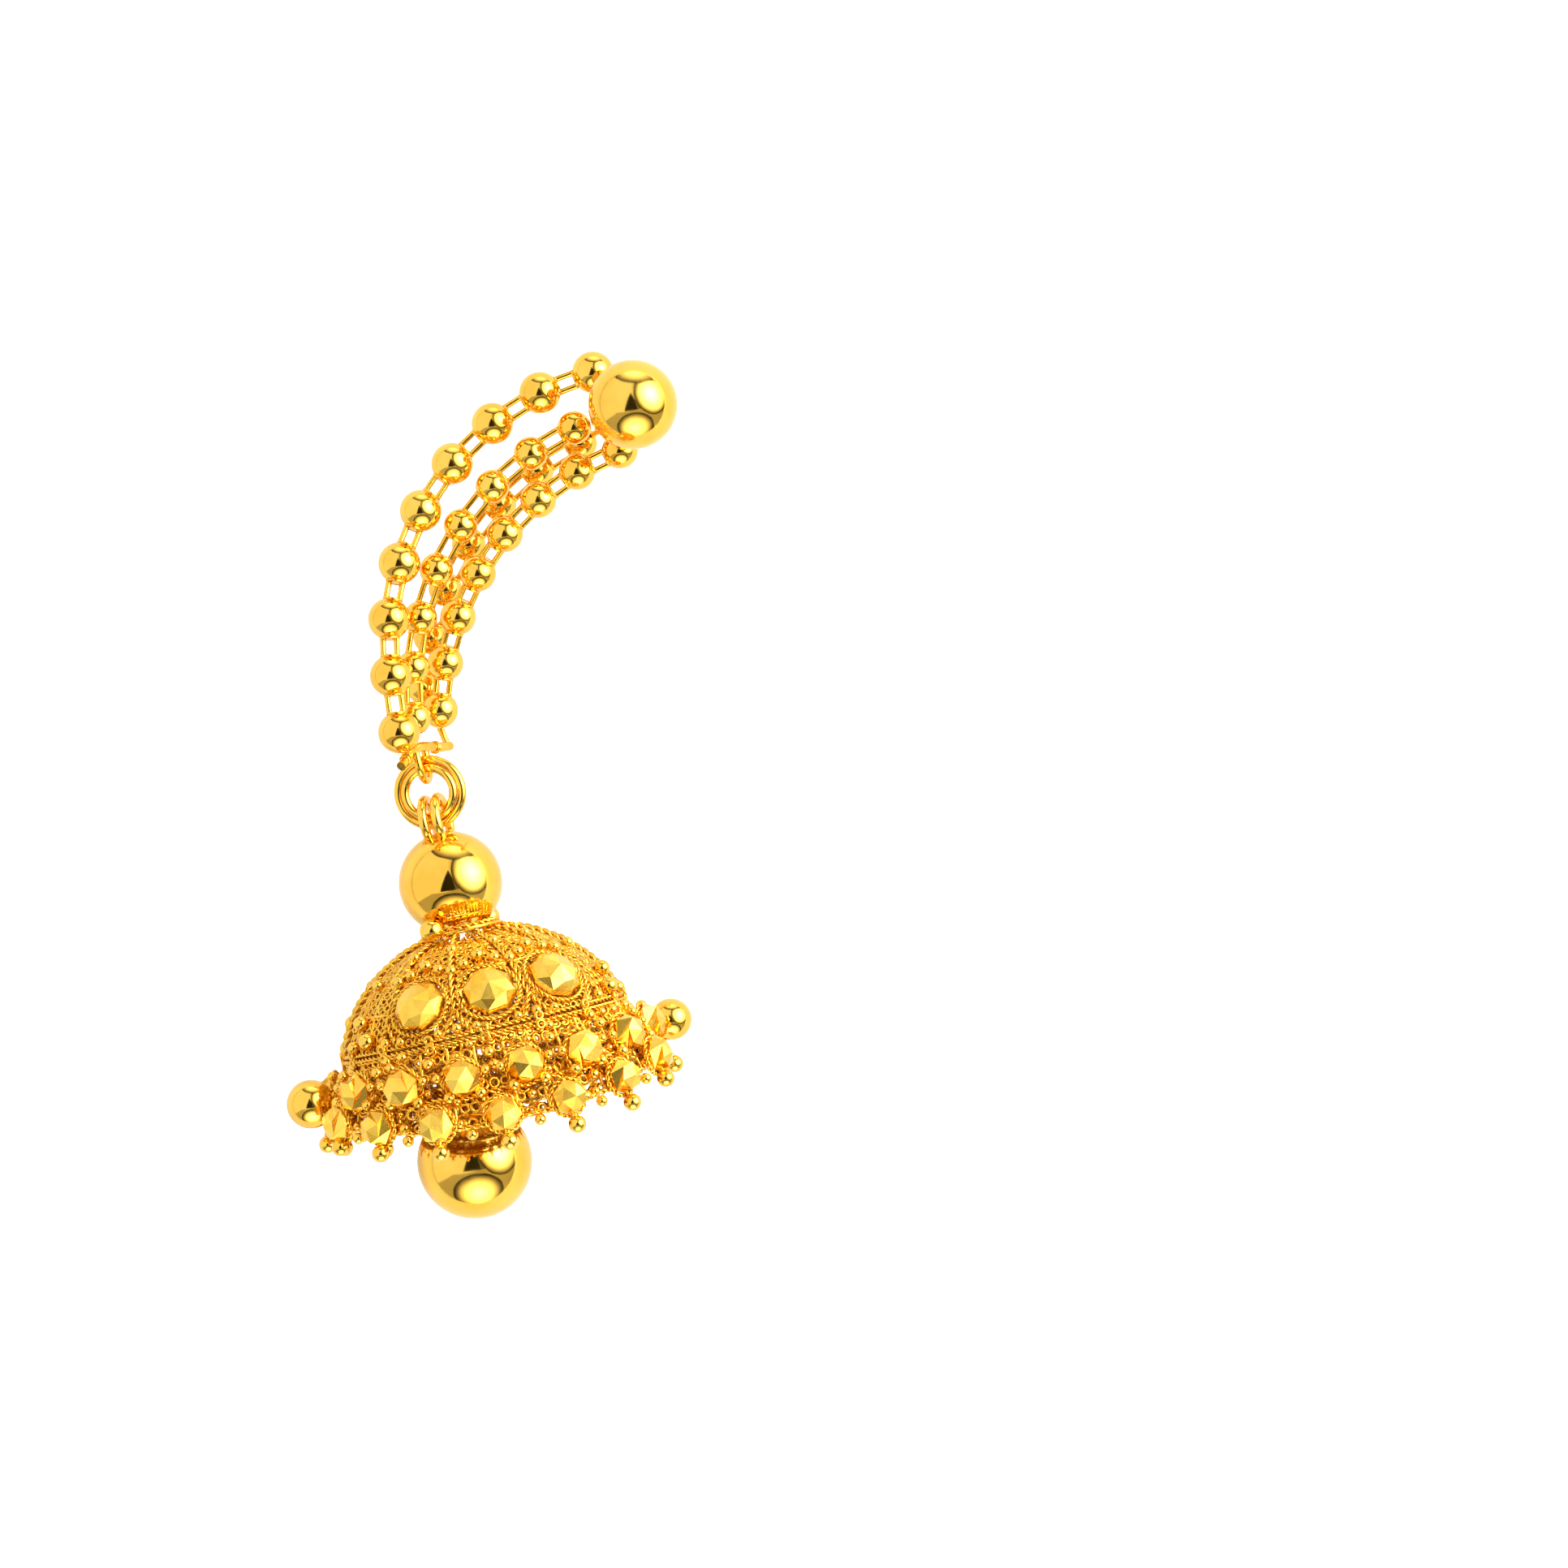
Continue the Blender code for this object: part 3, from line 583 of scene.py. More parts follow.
class Piece:
    """A visible piece that gathers meshes, rides on a body and stands for CAD nodes."""

    def __init__(self, name: str, body: Body, slot: Slot, *nodes: str) -> None:
        """Start an empty piece.

        Args:
            name: The piece's name.
            body: The body that it rides on.
            slot: The record's slot, which the piece keeps; its finishes come from what is added.
            nodes: The CAD nodes that it stands for.
        """
        self.name = name
        self.body = body
        self.slot = slot
        self.nodes = nodes
        self.shape = bmesh.new()
        self.finishes: list[bpy.types.Material] = []

    def add(self, mesh: bpy.types.Mesh, finish: GoldFinish) -> None:
        """Take in a mesh in one finish.

        Args:
            mesh: The mesh, which is used up.
            finish: Its finish.
        """
        material = finish.material()
        if material not in self.finishes:
            self.finishes.append(material)
        before = len(self.shape.faces)
        self.shape.from_mesh(mesh)
        self.shape.faces.ensure_lookup_table()
        number = self.finishes.index(material)
        for face in self.shape.faces[before:]:
            face.material_index = number
        bpy.data.meshes.remove(mesh)

    def done(self) -> bpy.types.Object:
        """Turn the gathered meshes into one object and hand it to the frame.

        Returns:
            The finished object, at the origin.
        """
        mesh = bpy.data.meshes.new(self.name)
        self.shape.to_mesh(mesh)
        self.shape.free()
        for material in self.finishes:
            mesh.materials.append(material)
        item = bpy.data.objects.new(self.name, mesh)
        bpy.context.scene.collection.objects.link(item)
        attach(item, self.body.value)
        if self.nodes:
            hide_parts(*self.nodes)
        LOG.info("%s: %d faces on %s", self.name, len(mesh.polygons), self.body.value)
        return item


def circle(centre: Vector, one: Vector, two: Vector, radius: float, count: int) -> list[Vector]:
    """Points round a circle.

    Args:
        centre: The circle's centre.
        one: A unit direction in its plane.
        two: The unit direction square to it in the plane.
        radius: Its radius.
        count: Number of points.

    Returns:
        The points, without the first one again.
    """
    turns = [math.tau * k / count for k in range(count)]
    return [centre + one * radius * math.cos(a) + two * radius * math.sin(a) for a in turns]


def polygon_mesh(rings: Sequence[Sequence[Vector]], cap_start: bool = True, cap_end: bool = True) -> bpy.types.Mesh:
    """Skin rings of equal count, in millimetres.

    Args:
        rings: The rings, or single points at the ends.
        cap_start: Whether the first ring is closed with a face.
        cap_end: Whether the last ring is closed with a face.

    Returns:
        A closed mesh in metres.
    """
    shape = bmesh.new()
    rows = [[shape.verts.new(p * MM) for p in ring] for ring in rings]
    for one, two in zip(rows, rows[1:]):
        count = max(len(one), len(two))
        for k in range(count):
            m = (k + 1) % count
            corners = [one[k % len(one)], one[m % len(one)], two[m % len(two)], two[k % len(two)]]
            unique = [v for i, v in enumerate(corners) if v not in corners[:i]]
            if len(unique) > 2:
                shape.faces.new(unique)
    if cap_start and len(rows[0]) > 2:
        shape.faces.new(rows[0])
    if cap_end and len(rows[-1]) > 2:
        shape.faces.new(rows[-1])
    bmesh.ops.recalc_face_normals(shape, faces=shape.faces)
    mesh = bpy.data.meshes.new("form")
    shape.to_mesh(mesh)
    shape.free()
    return mesh


def hidden_form(name: str, rings: Sequence[Sequence[Vector]]) -> bpy.types.Object:
    """A unit form that the cut tree sets on points; it is removed at the end.

    Args:
        name: The form's name.
        rings: Its rings, in units.

    Returns:
        The hidden object.
    """
    mesh = polygon_mesh([[p / MM for p in ring] for ring in rings])
    item = bpy.data.objects.new(name, mesh)
    bpy.context.scene.collection.objects.link(item)
    item.hide_render = True
    return item


def ring_of(radius: float, height: float, count: int, half_step: bool = False) -> list[Vector]:
    """A level ring of points for a cut form.

    Args:
        radius: The ring's radius; zero gives one point.
        height: Its height.
        count: Number of points.
        half_step: Whether the points stand half a step on.

    Returns:
        The points.
    """
    if not radius:
        return [Vector((0, 0, height))]
    shift = 0.5 if half_step else 0.0
    turns = [math.tau * (k + shift) / count for k in range(count)]
    return [Vector((radius * math.cos(a), radius * math.sin(a), height)) for a in turns]


# ---- The stem ----


@dataclass
class StemFrame:
    """The stem's own plane, turned about the stud so that the drop hangs plumb."""

    turn: float = 13.0
    depth: float = -3.0

    def world(self, point: Vector) -> Vector:
        """Turn a point of the stem's plane into the frame.

        Args:
            point: The point, in the stem's own directions.

        Returns:
            The point in the frame.
        """
        return Matrix.Rotation(math.radians(self.turn), 3, "Y") @ Vector(point) + Vector((0, self.depth, 0))


STEM = StemFrame()


@dataclass
class BeadStrand:
    """One strand of hollow beads joined by pairs of short wires."""

    name: str
    centre: tuple[float, float]
    arc: float
    first: float
    straight_below: float
    count: int
    pitch: float
    bead: float
    depth_top: float
    depth_foot: float
    turn_start: float = 0.35
    turn_end: float = 0.9
    wire: float = 0.19
    spread: float = 0.42
    collar: float = 0.56

    def centres(self) -> list[Vector]:
        """Bead centres in the frame, evenly stepped along the strand.

        Returns:
            The centres from the stud down.
        """
        step = math.degrees(self.pitch / self.arc)
        made = []
        for k in range(self.count):
            angle = self.first - step * k
            bend = max(angle, self.straight_below)
            beyond = self.arc * math.radians(bend - angle)
            a = math.radians(bend)
            x = self.centre[0] - self.arc * math.cos(a) - beyond * math.sin(a)
            z = self.centre[1] + self.arc * math.sin(a) - beyond * math.cos(a)
            t = (k / (self.count - 1) - self.turn_start) / (self.turn_end - self.turn_start)
            t = min(max(t, 0.0), 1.0)
            depth = self.depth_top + (self.depth_foot - self.depth_top) * t * t * (3 - 2 * t)
            made.append(STEM.world(Vector((x, depth, z))))
        return made

    def build(self, shop: Workshop) -> None:
        """Make the strand.

        Args:
            shop: The workshop with the trees.
        """
        centres = self.centres()
        level = STEM.world(Vector((0, 1, 0))) - STEM.world(Vector())
        beads, links, collars, caps = [], [], [], []
        for k, place in enumerate(centres):
            along = centres[min(k + 1, self.count - 1)] - centres[max(k - 1, 0)]
            beads.append(Setting(place, along, self.bead))
            if k + 1 == self.count:
                continue
            after = centres[k + 1]
            run = (after - place).normalized()
            aside = run.cross(level).normalized() * self.spread
            seat = run * self.bead * 0.8
            for side in (aside, -aside):
                links.append([place + seat + side, after - seat + side])
            edge = math.sqrt(self.bead ** 2 - self.collar ** 2)
            for centre, way in ((place, run), (after, -run)):
                collars.append(Setting(centre + way * (edge + 0.02), way, self.collar))
                caps.append([centre + way * (edge - 0.15), centre + way * (edge + 0.09)])
        piece = Piece(self.name + "_beads", Body.STEM, Slot.POLISHED, self.name)
        piece.add(shop.balls(beads, BUFFED, 40), BUFFED)
        piece.add(shop.wires(links, self.wire, DRAWN, sides=10), DRAWN)
        piece.add(shop.loops(collars, DRAWN, 0.16, 20, 6), DRAWN)
        piece.done()


STRANDS = (
    BeadStrand("outer_strand", (1.9, -14.15), 16.9, 74.8, -8.2, 9, 3.5, 1.3, 0.0, -2.3),
    BeadStrand("middle_strand", (3.85, -17.05), 17.5, 64.5, -20.0, 8, 3.115, 1.05, 0.0, 0.05),
    BeadStrand("inner_strand", (5.7, -19.15), 17.75, 68.3, -20.0, 8, 2.95, 1.125, 0.0, 1.9),
    BeadStrand("back_strand", (4.8, -18.1), 18.0, 63.0, -20.0, 7, 3.15, 1.05, 2.4, 3.7),
)


@dataclass
class StudFittings:
    """The stud ball, the plate behind it with its petals, and the ear post."""

    ball: float = 2.75
    ball_depth: float = -3.0
    gap: float = 0.28
    plate: float = 1.2
    plate_thickness: float = 0.7
    petal: float = 0.42
    petal_wire: float = 0.16
    post: float = 0.45
    post_tip: float = 9.5
    notch: float = 8.6

    def build(self, shop: Workshop) -> None:
        """Make the three pieces.

        Args:
            shop: The workshop with the trees.
        """
        forward = Vector((0, 1, 0))
        piece = Piece("stud_ball_polished", Body.STEM, Slot.POLISHED, "stud_ball")
        piece.add(shop.balls([Setting(STEM.world(Vector((0, self.ball_depth, 0))), forward, self.ball)], BUFFED, 96),
                  BUFFED)
        piece.done()
        self.build_post()
        self.build_bracket(shop)

    def build_post(self) -> None:
        """The post: a turned pin with a groove for its back and a rounded tip."""
        start = self.ball_depth + self.ball + self.gap + self.plate_thickness + self.gap + STEM.depth
        r = self.post
        outline = (
            (r * 0.8, start), (r, start + 0.15), (r, self.notch - 0.7), (r * 0.78, self.notch - 0.5),
            (r * 0.78, self.notch - 0.2), (r, self.notch), (r, self.post_tip - 0.35),
            (r * 0.86, self.post_tip - 0.13), (r * 0.5, self.post_tip - 0.02), (r * 0.2, self.post_tip),
        )
        one, two = Vector((1, 0, 0)), Vector((0, 0, 1))
        rings = [circle(Vector((0, y, 0)), one, two, radius, 32) for radius, y in outline]
        piece = Piece("ear_post_pin", Body.STEM, Slot.WIRE, "ear_post")
        mesh = polygon_mesh(rings)
        mesh.shade_smooth()
        mesh.set_sharp_from_angle(angle=math.radians(35))
        piece.add(mesh, DRAWN)
        piece.done()

    def build_bracket(self, shop: Workshop) -> None:
        """The plate, its petals and the arms that reach the strands.

        Args:
            shop: The workshop with the trees.
        """
        front = self.ball_depth + self.ball + self.gap
        middle = front + self.plate_thickness / 2
        one, two = Vector((1, 0, 0)), Vector((0, 0, 1))
        profile = ((0.86, 0.0), (1.0, 0.12), (1.0, 0.88), (0.86, 1.0))
        rings = [
            [STEM.world(p) for p in circle(
                Vector((0, front + share * self.plate_thickness, 0)), one, two, self.plate * scale, 48)]
            for scale, share in profile
        ]
        plate = polygon_mesh(rings)
        plate.shade_smooth()
        plate.set_sharp_from_angle(angle=math.radians(50))
        piece = Piece("top_bracket_plate", Body.STEM, Slot.WIRE, "top_bracket")
        piece.add(plate, DRAWN)
        reach = self.plate + self.petal - 0.1
        petals = [STEM.world(p) for p in circle(Vector((-reach, middle, 0)), one, two, self.petal, 20)]
        piece.add(shop.wires([petals], self.petal_wire, DRAWN, closed=True), DRAWN)
        inner = [STEM.world(p) for p in circle(Vector((-reach + 0.28, middle - 0.3, 0.62)), one, two, 0.3, 16)]
        lower = [STEM.world(p) for p in circle(Vector((-reach + 0.3, middle - 0.3, -0.62)), one, two, 0.3, 16)]
        piece.add(shop.wires([inner, lower], 0.11, DRAWN, closed=True), DRAWN)
        arms = []
        for start, strand in (((-0.8, middle, -0.3), STRANDS[1]), ((-0.8, middle, -0.5), STRANDS[3])):
            begin = STEM.world(Vector(start))
            run = strand.centres()[0] - begin
            arms.append([begin, begin + run.normalized() * (run.length - strand.bead - 0.05)])
        piece.add(shop.wires(arms, 0.22, DRAWN), DRAWN)
        granules = [STEM.world(Vector(p)) for p in ((-reach - 0.1, middle - 0.25, 0.45), (-reach - 0.1, middle - 0.25, -0.45))]
        piece.add(shop.balls([Setting(p, one, 0.2) for p in granules], BUFFED, 12), BUFFED)
        piece.done()


# ---- The hanging gear ----


AXIS = Vector((-17.6, -3.0, 0.0))
UP = Vector((0, 0, 1))


def level_ways(degrees: float) -> tuple[Vector, Vector]:
    """Two level directions square to each other.

    Args:
        degrees: Turn of the first from +Y towards +X.

    Returns:
        The two unit directions.
    """
    turn = math.radians(degrees)
    return Vector((math.sin(turn), math.cos(turn), 0)), Vector((math.cos(turn), -math.sin(turn), 0))


RING_NORMAL, RING_LEVEL = level_ways(12.0)
BAR_RUN, _ = level_ways(28.0)


def on_axis(z: float) -> Vector:
    """A point on the bell's axis.

    Args:
        z: Its height.

    Returns:
        The point.
    """
    return AXIS + UP * z


@dataclass
class HangingGear:
    """The bar and eye at the crescent's foot, and the ring wound twice round."""

    ring_z: float = -20.3
    ring_radius: float = 1.78
    ring_wire: float = 0.27
    ring_spacing: float = 0.25
    eye_wire: float = 0.25
    eye_radius: float = 1.1
    clearance: float = 0.25
    bar_wire: float = 0.3
    gap: float = 0.28
    bar_line: tuple[tuple[float, float], ...] = (
        (-2.6, 0.95), (-1.2, 0.3), (0.0, 0.0), (1.1, 0.08), (2.1, 0.24), (3.6, 0.3),
    )

    def point(self, along: float, z: float, run: Vector = RING_NORMAL) -> Vector:
        """A point beside the axis.

        Args:
            along: Distance from the axis.
            z: Height.
            run: The level direction that the distance runs along.

        Returns:
            The point.
        """
        return on_axis(z) + run * along

    def build(self, shop: Workshop) -> None:
        """Make the eye and the ring.

        Args:
            shop: The workshop with the trees.
        """
        ring_top = self.ring_z + self.ring_radius
        reach = self.ring_spacing + self.ring_wire
        bar_top = ring_top + reach + self.gap + self.bar_wire
        bar = smooth_line([self.point(along, bar_top - below, BAR_RUN) for along, below in self.bar_line], 6)
        centre_z = ring_top - (reach + self.eye_wire + self.clearance) + self.eye_radius
        turns = [math.pi * k / 24 for k in range(25)]
        half = [self.point(self.eye_radius * math.cos(a), centre_z - self.eye_radius * math.sin(a)) for a in turns]
        loop = [self.point(self.eye_radius, bar_top - 0.15)] + half + [self.point(-self.eye_radius, bar_top - 0.3)]
        last = STRANDS[3].centres()[-1]
        start = bar[-1] - BAR_RUN * 0.2
        run = last - start
        tie = [start, start + run.normalized() * (run.length - STRANDS[3].bead - 0.05)]
        piece = Piece("end_eye_wires", Body.STEM, Slot.WIRE, "end_eye")
        piece.add(shop.wires([bar], self.bar_wire, DRAWN, sides=14), DRAWN)
        piece.add(shop.wires([loop], self.eye_wire, DRAWN, sides=12), DRAWN)
        piece.add(shop.wires([tie], 0.22, DRAWN, sides=10), DRAWN)
        wraps = [Setting(bar[k], bar[k + 1] - bar[k], self.bar_wire + 0.03) for k in (3, 4, 22, 23)]
        piece.add(shop.loops(wraps, DRAWN, 0.24, 18, 6), DRAWN)
        piece.done()

        piece = Piece("jump_ring_double", Body.RING, Slot.WIRE, "jump_ring")
        rings = [
            circle(on_axis(self.ring_z) + RING_NORMAL * side * 0.12, RING_LEVEL, UP,
                   self.ring_radius + side * self.ring_spacing, 72)
            for side in (-1, 1)
        ]
        piece.add(shop.wires(rings, self.ring_wire, BUFFED, closed=True, sides=16), BUFFED)
        piece.done()


def smooth_line(points: Sequence[Vector], parts: int) -> list[Vector]:
    """Draw a smooth line through points.

    Args:
        points: The points that it passes.
        parts: Steps between two points.

    Returns:
        The line's points.
    """
    made = []
    for k in range(len(points) - 1):
        a = points[max(k - 1, 0)]
        b, c = points[k], points[k + 1]
        d = points[min(k + 2, len(points) - 1)]
        for i in range(parts):
            t = i / parts
            made.append(0.5 * (2 * b + (c - a) * t + (2 * a - 5 * b + 4 * c - d) * t * t
                               + (3 * b - a - 3 * c + d) * t ** 3))
    return made + [points[-1]]


@dataclass
class TopBall:
    """The ball over the bell, its bail, and the bail's curled ends on the ball's face."""

    z: float = -26.0
    radius: float = 3.2
    pivot_z: float = -22.08
    bail: float = 1.42
    bail_wire: float = 0.3
    spacing: float = 0.42

    def on_ball(self, point: Vector) -> Vector:
        """Move a point to just outside the ball.

        Args:
            point: A point near the ball.

        Returns:
            The point on the ball's face.
        """
        centre = on_axis(self.z)
        return centre + (point - centre).normalized() * (self.radius + 0.06)

    def build(self, shop: Workshop) -> None:
        """Make the ball.

        Args:
            shop: The workshop with the trees.
        """
        piece = Piece("top_ball_polished", Body.DROP, Slot.POLISHED, "top_ball")
        piece.add(shop.balls([Setting(on_axis(self.z), UP, self.radius)], BUFFED, 112), BUFFED)
        rings = [
            circle(on_axis(self.pivot_z) + RING_LEVEL * side, RING_NORMAL, UP, self.bail, 48)
            for side in (-self.spacing, self.spacing)
        ]
        piece.add(shop.wires(rings, self.bail_wire, BUFFED, closed=True, sides=14), BUFFED)
        seat = on_axis(self.z + self.radius - 0.12)
        # The bail's ends are curled down on the ball's face in two small scrolls
        scrolls = []
        for side in (-1, 1):
            for front in (-1, 1):
                start = RING_LEVEL * side * self.spacing + RING_NORMAL * front * 0.9
                line = [seat + start * (1 + 0.12 * k) + UP * (0.25 - 0.16 * k) for k in range(4)]
                scrolls.append([self.on_ball(p) for p in line])
        piece.add(shop.wires(scrolls, 0.13, DRAWN, sides=8), DRAWN)
        piece.done()


# ---- The bell ----


@dataclass
class BellForm:
    """The dome's and the border's surfaces, from the same sizes as the solids."""

    turn: float = 9.0
    radius: float = 8.9
    height: float = 8.0
    centre_z: float = -37.1
    wall: float = 0.5
    droop_depth: float = 1.9
    rows: tuple[tuple[float, float, float], ...] = (
        (8.6, -35.45, 0.0), (8.75, -36.05, 0.05), (9.25, -36.9, 0.35),
        (9.6, -37.6, 0.65), (9.75, -38.0, 0.75), (10.1, -39.0, 0.9),
    )

    def round(self, angle: float, reach: float, z: float) -> Vector:
        """A point round the axis; the angle runs from the front towards +X."""
        a = math.radians(angle)
        return AXIS + Vector((reach * math.sin(a), -reach * math.cos(a), z))

    def outward(self, angle: float) -> Vector:
        """The level direction away from the axis at an angle."""
        return self.round(angle, 1.0, 0.0) - AXIS

    def dome(self, angle: float, polar: float, raised: float = 0.0) -> Vector:
        """A point on the dome's outer face.

        Args:
            angle: Angle round the bell from its own front, before its turn.
            polar: Angle down from the top.
            raised: Distance outside the face.

        Returns:
            The point.
        """
        p = math.radians(polar)
        place = self.round(angle + self.turn, self.radius * math.sin(p), self.centre_z + self.height * math.cos(p))
        return place + self.dome_normal(angle, polar) * raised

    def dome_normal(self, angle: float, polar: float) -> Vector:
        """The dome's outward normal.

        Args:
            angle: Angle round the bell from its own front.
            polar: Angle down from the top.

        Returns:
            The unit normal.
        """
        p = math.radians(polar)
        way = self.round(angle + self.turn, math.sin(p) / self.radius, math.cos(p) / self.height) - AXIS
        return way.normalized()

    def droop(self, angle: float) -> float:
        """Share of the border's droop: none at its two ends, full at the front and back."""
        return 1.0 - abs(math.sin(math.radians(angle - self.turn))) ** 3

    def border(self, angle: float, share: float, raised: float = 0.0) -> Vector:
        """A point on the border's outer face.

        Args:
            angle: Angle round the axis.
            share: Row number, whole or between two rows.
            raised: Distance outside the face.

        Returns:
            The point.
        """
        low = min(int(share), len(self.rows) - 2)
        t = share - low
        reach, z, fall = (a + (b - a) * t for a, b in zip(self.rows[low], self.rows[low + 1]))
        return self.round(angle, reach + raised, z - self.droop_depth * fall * self.droop(angle))

    def border_normal(self, angle: float, share: float) -> Vector:
        """The border's outward normal, from its slope.

        Args:
            angle: Angle round the axis.
            share: Row number.

        Returns:
            The unit normal.
        """
        down = self.border(angle, min(share + 0.5, 5.0)) - self.border(angle, max(share - 0.5, 0.0))
        across = self.border(angle + 1.0, share) - self.border(angle - 1.0, share)
        return down.cross(across).normalized()


BELL = BellForm()


def boss_rings() -> list[list[Vector]]:
    """A boss of unit radius: a seat, a girdle, and eight facets that meet in a low point."""
    return [
        ring_of(1.02, -0.34, 8, True), ring_of(1.02, -0.10, 8, True), ring_of(0.95, 0.08, 8, True),
        ring_of(0.70, 0.36, 8), ring_of(0.0, 0.58, 8),
    ]


def bead_rings() -> list[list[Vector]]:
    """A cut bead of unit radius: six broad facets round its face, stepped by halves behind."""
    made = [ring_of(0.0, 0.95, 6)]
    for k, polar in enumerate((48, 88, 128)):
        p = math.radians(polar)
        made.append(ring_of(math.sin(p), math.cos(p), 6, bool(k % 2)))
    return made + [ring_of(0.0, -1.0, 6)]


@dataclass
class Dome:
    """The lace dome: ropes over its ribs and crest, cut bosses, granules and wire lace."""

    panels: tuple[float, ...] = (-33.0, 0.0, 33.0)
    panel_half: float = 13.5
    rib: float = 16.5
    crest: tuple[float, ...] = (87.0, 90.0, 93.0)
    top: float = 13.0
    foot: float = 75.2
    boss_polar: float = 58.8
    boss: float = 1.65
    boss_ring: float = 1.9
    rope: float = 0.12
    fine_rope: float = 0.08
    loop: float = 0.22
    lace_spacing: float = 0.58
    lace_rows: int = 17
    lace_top: float = 16.0
    split: float = 64.0
    split_half: float = 6.0
    seed: int = 11

    def meridian(self, angle: float, start: float, end: float, raised: float) -> list[Vector]:
        """A line down the dome.

        Args:
            angle: Angle round the bell.
            start: Polar angle where it starts.
            end: Polar angle where it ends.
            raised: Distance outside the face.

        Returns:
            The line's points.
        """
        count = 24
        return [BELL.dome(angle, start + (end - start) * k / count, raised) for k in range(count + 1)]

    def parallel(self, polar: float, start: float, end: float, raised: float, count: int = 16) -> list[Vector]:
        """A line round the dome.

        Args:
            polar: Angle down from the top.
            start: Angle where it starts.
            end: Angle where it ends.
            raised: Distance outside the face.
            count: Steps.

        Returns:
            The line's points.
        """
        return [BELL.dome(start + (end - start) * k / count, polar, raised) for k in range(count + 1)]

    def bosses(self) -> list[tuple[float, Vector, Vector]]:
        """Angle, seat and outward direction of each boss."""
        return [
            (a + turn, BELL.dome(a + turn, self.boss_polar), BELL.dome_normal(a + turn, self.boss_polar))
            for turn in (0.0, 180.0) for a in self.panels
        ]

    def lace(self, depth: float, shift: float) -> list[Setting]:
        """Loops of the lace, in close rows over the panels and the two sides.

        Args:
            depth: How far the loops lie inside the face.
            shift: Share of a step that every other row starts further on.

        Returns:
            The loops' places.
        """
        rng = np.random.default_rng(self.seed)
        seats = [seat for _, seat, _ in self.bosses()]
        made = []
        for row in range(self.lace_rows):
            polar = self.lace_top + (self.foot - 1.6 - self.lace_top) * (row + shift) / (self.lace_rows - 1)
            ring = BELL.radius * math.sin(math.radians(polar))
            step = math.degrees(self.lace_spacing / ring)
            for low, high in self.fields(polar):
                count = max(round((high - low) / step), 1)
                for k, turn in ((k, turn) for k in range(count) for turn in (0.0, 180.0)):
                    angle = low + (high - low) * (k + 0.5 + shift - shift * 2 * (row % 2)) / count + turn
                    place = BELL.dome(angle, polar, -depth)
                    lean = Vector(rng.normal(0.0, 0.12, 3))
                    size = self.loop * float(rng.uniform(0.9, 1.1))
                    if self.in_window(angle - turn, polar) or any(
                            (place - seat).length < self.boss_ring - 0.1 for seat in seats):
                        continue
                    made.append(Setting(place, BELL.dome_normal(angle, polar) + lean, size))
        return made

    def in_window(self, angle: float, polar: float) -> bool:
        """Whether a place lies in one of the open triangles between the bosses and the band."""
        away = min(abs(angle - rib) for rib in (-16.5, 16.5, -49.5, 49.5))
        return polar > self.split and away < self.split_half * (polar - self.split) / (self.foot - self.split)

    def fields(self, polar: float) -> list[tuple[float, float]]:
        """Stretches of angle that hold lace at a polar angle.

        Args:
            polar: Angle down from the top.

        Returns:
            Lowest and highest angle of each stretch.
        """
        made = [(c - self.rib + 1.5, c + self.rib - 1.5) for c in self.panels] if polar > 20 else []
        return made + [(51.5, 84.5), (95.5, 128.5)]

    def granules(self) -> list[Setting]:
        """Granules on the frame: under and between the bosses, and down the ribs.

        Returns:
            The granules' places.
        """
        made = []
        for turn in (0.0, 180.0):
            for c in (-49.5, -16.5, 16.5, 49.5):
                for polar, size in ((30.0, 0.32), (44.5, 0.36), (72.5, 0.34)):
                    made.append(self.granule(c + turn, polar, size))
            for c in self.panels:
                for offset, polar, size in ((-9.0, 42.0, 0.34), (9.0, 42.0, 0.34), (0.0, 38.5, 0.4),
                                            (-8.5, 73.0, 0.3), (8.5, 73.0, 0.3)):
                    made.append(self.granule(c + offset + turn, polar, size))
            for c, polar, size in ((68.0, 62.0, 0.5), (60.0, 70.5, 0.55), (72.0, 72.0, 0.42),
                                   (112.0, 62.0, 0.5), (120.0, 70.5, 0.55), (108.0, 72.0, 0.42),
                                   (70.0, 44.0, 0.36), (110.0, 44.0, 0.36)):
                made.append(self.granule(c + turn, polar, size))
        return made

    def granule(self, angle: float, polar: float, size: float) -> Setting:
        """A granule that sits on the dome.

        Args:
            angle: Angle round the bell.
            polar: Angle down from the top.
            size: Its radius.

        Returns:
            Its place.
        """
        return Setting(BELL.dome(angle, polar, size * 0.75), BELL.dome_normal(angle, polar), size)

